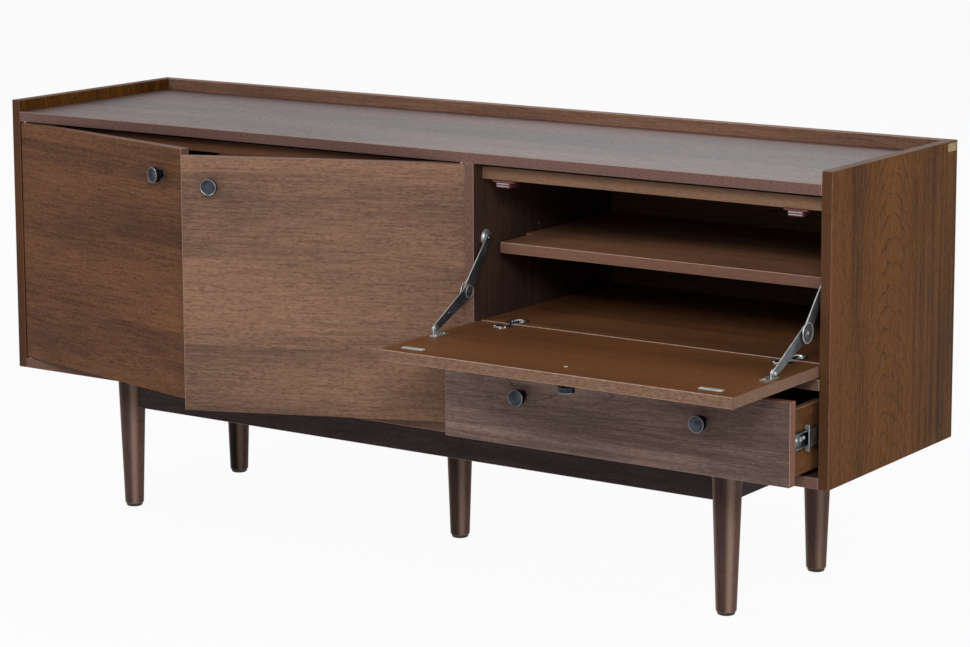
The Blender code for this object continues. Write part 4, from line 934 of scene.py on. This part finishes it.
def catch(name, middle, low, high):
    """One magnet: housing, ears, pole plates and screws."""
    half = 0.0135
    pole_half = 0.01188
    chamfer = 0.0008
    ear = 0.0210
    ear_under = high.z - 0.0024
    right_half = [(ear, high.z), (ear, ear_under), (half + chamfer, ear_under), (half, ear_under - 0.0010),
                  (half, low.z + chamfer), (half - chamfer, low.z)]
    outline = [(middle - across, level) for across, level in right_half]
    outline += [(middle + across, level) for across, level in right_half[::-1]]
    housing = slab(name + "_housing", outline, 1, low.y, high.y, 0.0004)
    fit(housing, "carcass", housing_brown)
    for label, share in (("_pole_a", 0.24), ("_pole_b", 0.60)):
        z = low.z + (high.z - low.z) * share
        pole = plate(name + label, (middle - pole_half, low.y - 0.0008, z - 0.0006),
                     (middle + pole_half, low.y + 0.0040, z + 0.0006), 0.0003, steps=2)
        fit(pole, "carcass", pole_steel)
    heads = [(middle + reach, (low.y + high.y) / 2, ear_under + 0.0002) for reach in (-0.0172, 0.0172)]
    screws(name + "_screws", "carcass", heads, (math.pi, 0, 0), zinc, 0.0030, 0.0012)
    return housing


pair_reach = (catch_high.x - catch_low.x) / 4 + 0.004
left_housing = catch("catch_doors_left", catch_middle - pair_reach, catch_low, catch_high)
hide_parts("catch_doors")
catch("catch_doors_right", catch_middle + pair_reach, catch_low, catch_high)
for side in ("left", "right"):
    low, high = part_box("catch_flap_" + side)
    housing = catch("catch_flap_" + side, (low.x + high.x) / 2, low, high)
    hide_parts("catch_flap_" + side)


# Plate. A small bare plate of brushed brass, rounded at its corners, is fixed to the right side
# near its top back corner.
brass = metal("brushed_brass", (160, 134, 94), (132, 108, 72), 0.42)
side_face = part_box("side_panel_right")[1].x
badge = plate("side_plate", (side_face - 0.0002, 0.182, 0.735), (side_face + 0.0008, 0.218, 0.749),
              0.0012, 0.0002)
fit(badge, "carcass", brass)


# Studio. A pale floor that stays white around the object and keeps a faint shadow, broad soft
# lamps from the front and both sides, and the camera at the photograph's angle.
def looked_at(tree):
    """1 on the way to the camera, straight or by a mirror or glass, and else 0."""
    paths = tree.nodes.new("ShaderNodeLightPath").outputs
    bent = maths(tree, "MAXIMUM", paths["Is Glossy Ray"], paths["Is Transmission Ray"])
    return maths(tree, "MAXIMUM", paths["Is Camera Ray"], bent)


sweep, tree, shader = fresh_material("studio_floor")
shader.inputs["Base Color"].default_value = (0.90, 0.90, 0.90, 1.0)
shader.inputs["Roughness"].default_value = 0.9
shader.inputs["Specular IOR Level"].default_value = 0.0
glow = add(tree, "ShaderNodeEmission", {"Strength": 1.0})
blend = add(tree, "ShaderNodeMixShader", {
    0: maths(tree, "MULTIPLY", looked_at(tree), 0.94), 1: shader.outputs[0], 2: glow.outputs[0]})
tree.links.new(blend.outputs[0], tree.nodes["Material Output"].inputs["Surface"])
floor_reach = 30.0
ground = bpy.data.meshes.new("floor")
ground.from_pydata([(x * floor_reach, y * floor_reach, 0) for x, y in ((-1, -1), (1, -1), (1, 1), (-1, 1))],
                   [], [(0, 1, 2, 3)])
ground.materials.append(sweep)
floor = bpy.data.objects.new("floor", ground)
bpy.context.scene.collection.objects.link(floor)

world = bpy.data.worlds.new("studio")
world.use_nodes = True
tree = world.node_tree
surround = tree.nodes["Background"]
ambient = 0.30
strength = maths(tree, "MULTIPLY_ADD", looked_at(tree), 1.0 - ambient, ambient)
tree.links.new(strength, surround.inputs["Strength"])
surround.inputs["Color"].default_value = (1.0, 1.0, 1.0, 1.0)
bpy.context.scene.world = world

for name, place, aim, width, height, power in (
        ("front_softbox", (2.70, -3.80, 2.70), (0, 0, 0.45), 1.5, 1.2, 92),
        ("left_softbox", (-2.00, -3.60, 3.10), (0, 0, 0.45), 1.1, 0.9, 45),
        ("right_softbox", (4.00, -0.60, 2.60), (0.3, 0, 0.45), 1.6, 1.6, 22),
        ("back_softbox", (-1.50, 3.40, 3.90), (0, 0, 0.45), 1.8, 1.6, 42)):
    light = bpy.data.lights.new(name, "AREA")
    light.shape = "RECTANGLE"
    light.size = width
    light.size_y = height
    light.energy = power
    holder = bpy.data.objects.new(name, light)
    holder.location = place
    holder.rotation_euler = (Vector(aim) - Vector(place)).to_track_quat("-Z", "Y").to_euler()
    bpy.context.scene.collection.objects.link(holder)

camera_data = bpy.data.cameras.new("camera")
frame_width = 970
frame_height = 647
focal_pixels = 2986.0
axis_height = 200.0
camera_data.sensor_width = 36.0
camera_data.lens = focal_pixels / frame_width * camera_data.sensor_width
camera_data.shift_y = -(frame_height / 2 - axis_height) / frame_width
camera = bpy.data.objects.new("camera", camera_data)
eye = Vector((2.958, -4.249, 1.411))
yaw = math.radians(34.33)
pitch = math.radians(8.82)
roll = math.radians(-0.20)
look = Vector((-math.sin(yaw) * math.cos(pitch), math.cos(yaw) * math.cos(pitch), -math.sin(pitch)))
right = Vector((math.cos(yaw), math.sin(yaw), 0))
up = right.cross(look)
rolled_right = math.cos(roll) * right + math.sin(roll) * up
rolled_up = math.cos(roll) * up - math.sin(roll) * right
camera.matrix_world = Matrix((
    (rolled_right.x, rolled_up.x, -look.x, eye.x),
    (rolled_right.y, rolled_up.y, -look.y, eye.y),
    (rolled_right.z, rolled_up.z, -look.z, eye.z),
    (0, 0, 0, 1)))
bpy.context.scene.collection.objects.link(camera)
bpy.context.scene.camera = camera
bpy.context.scene.view_settings.view_transform = "Standard"
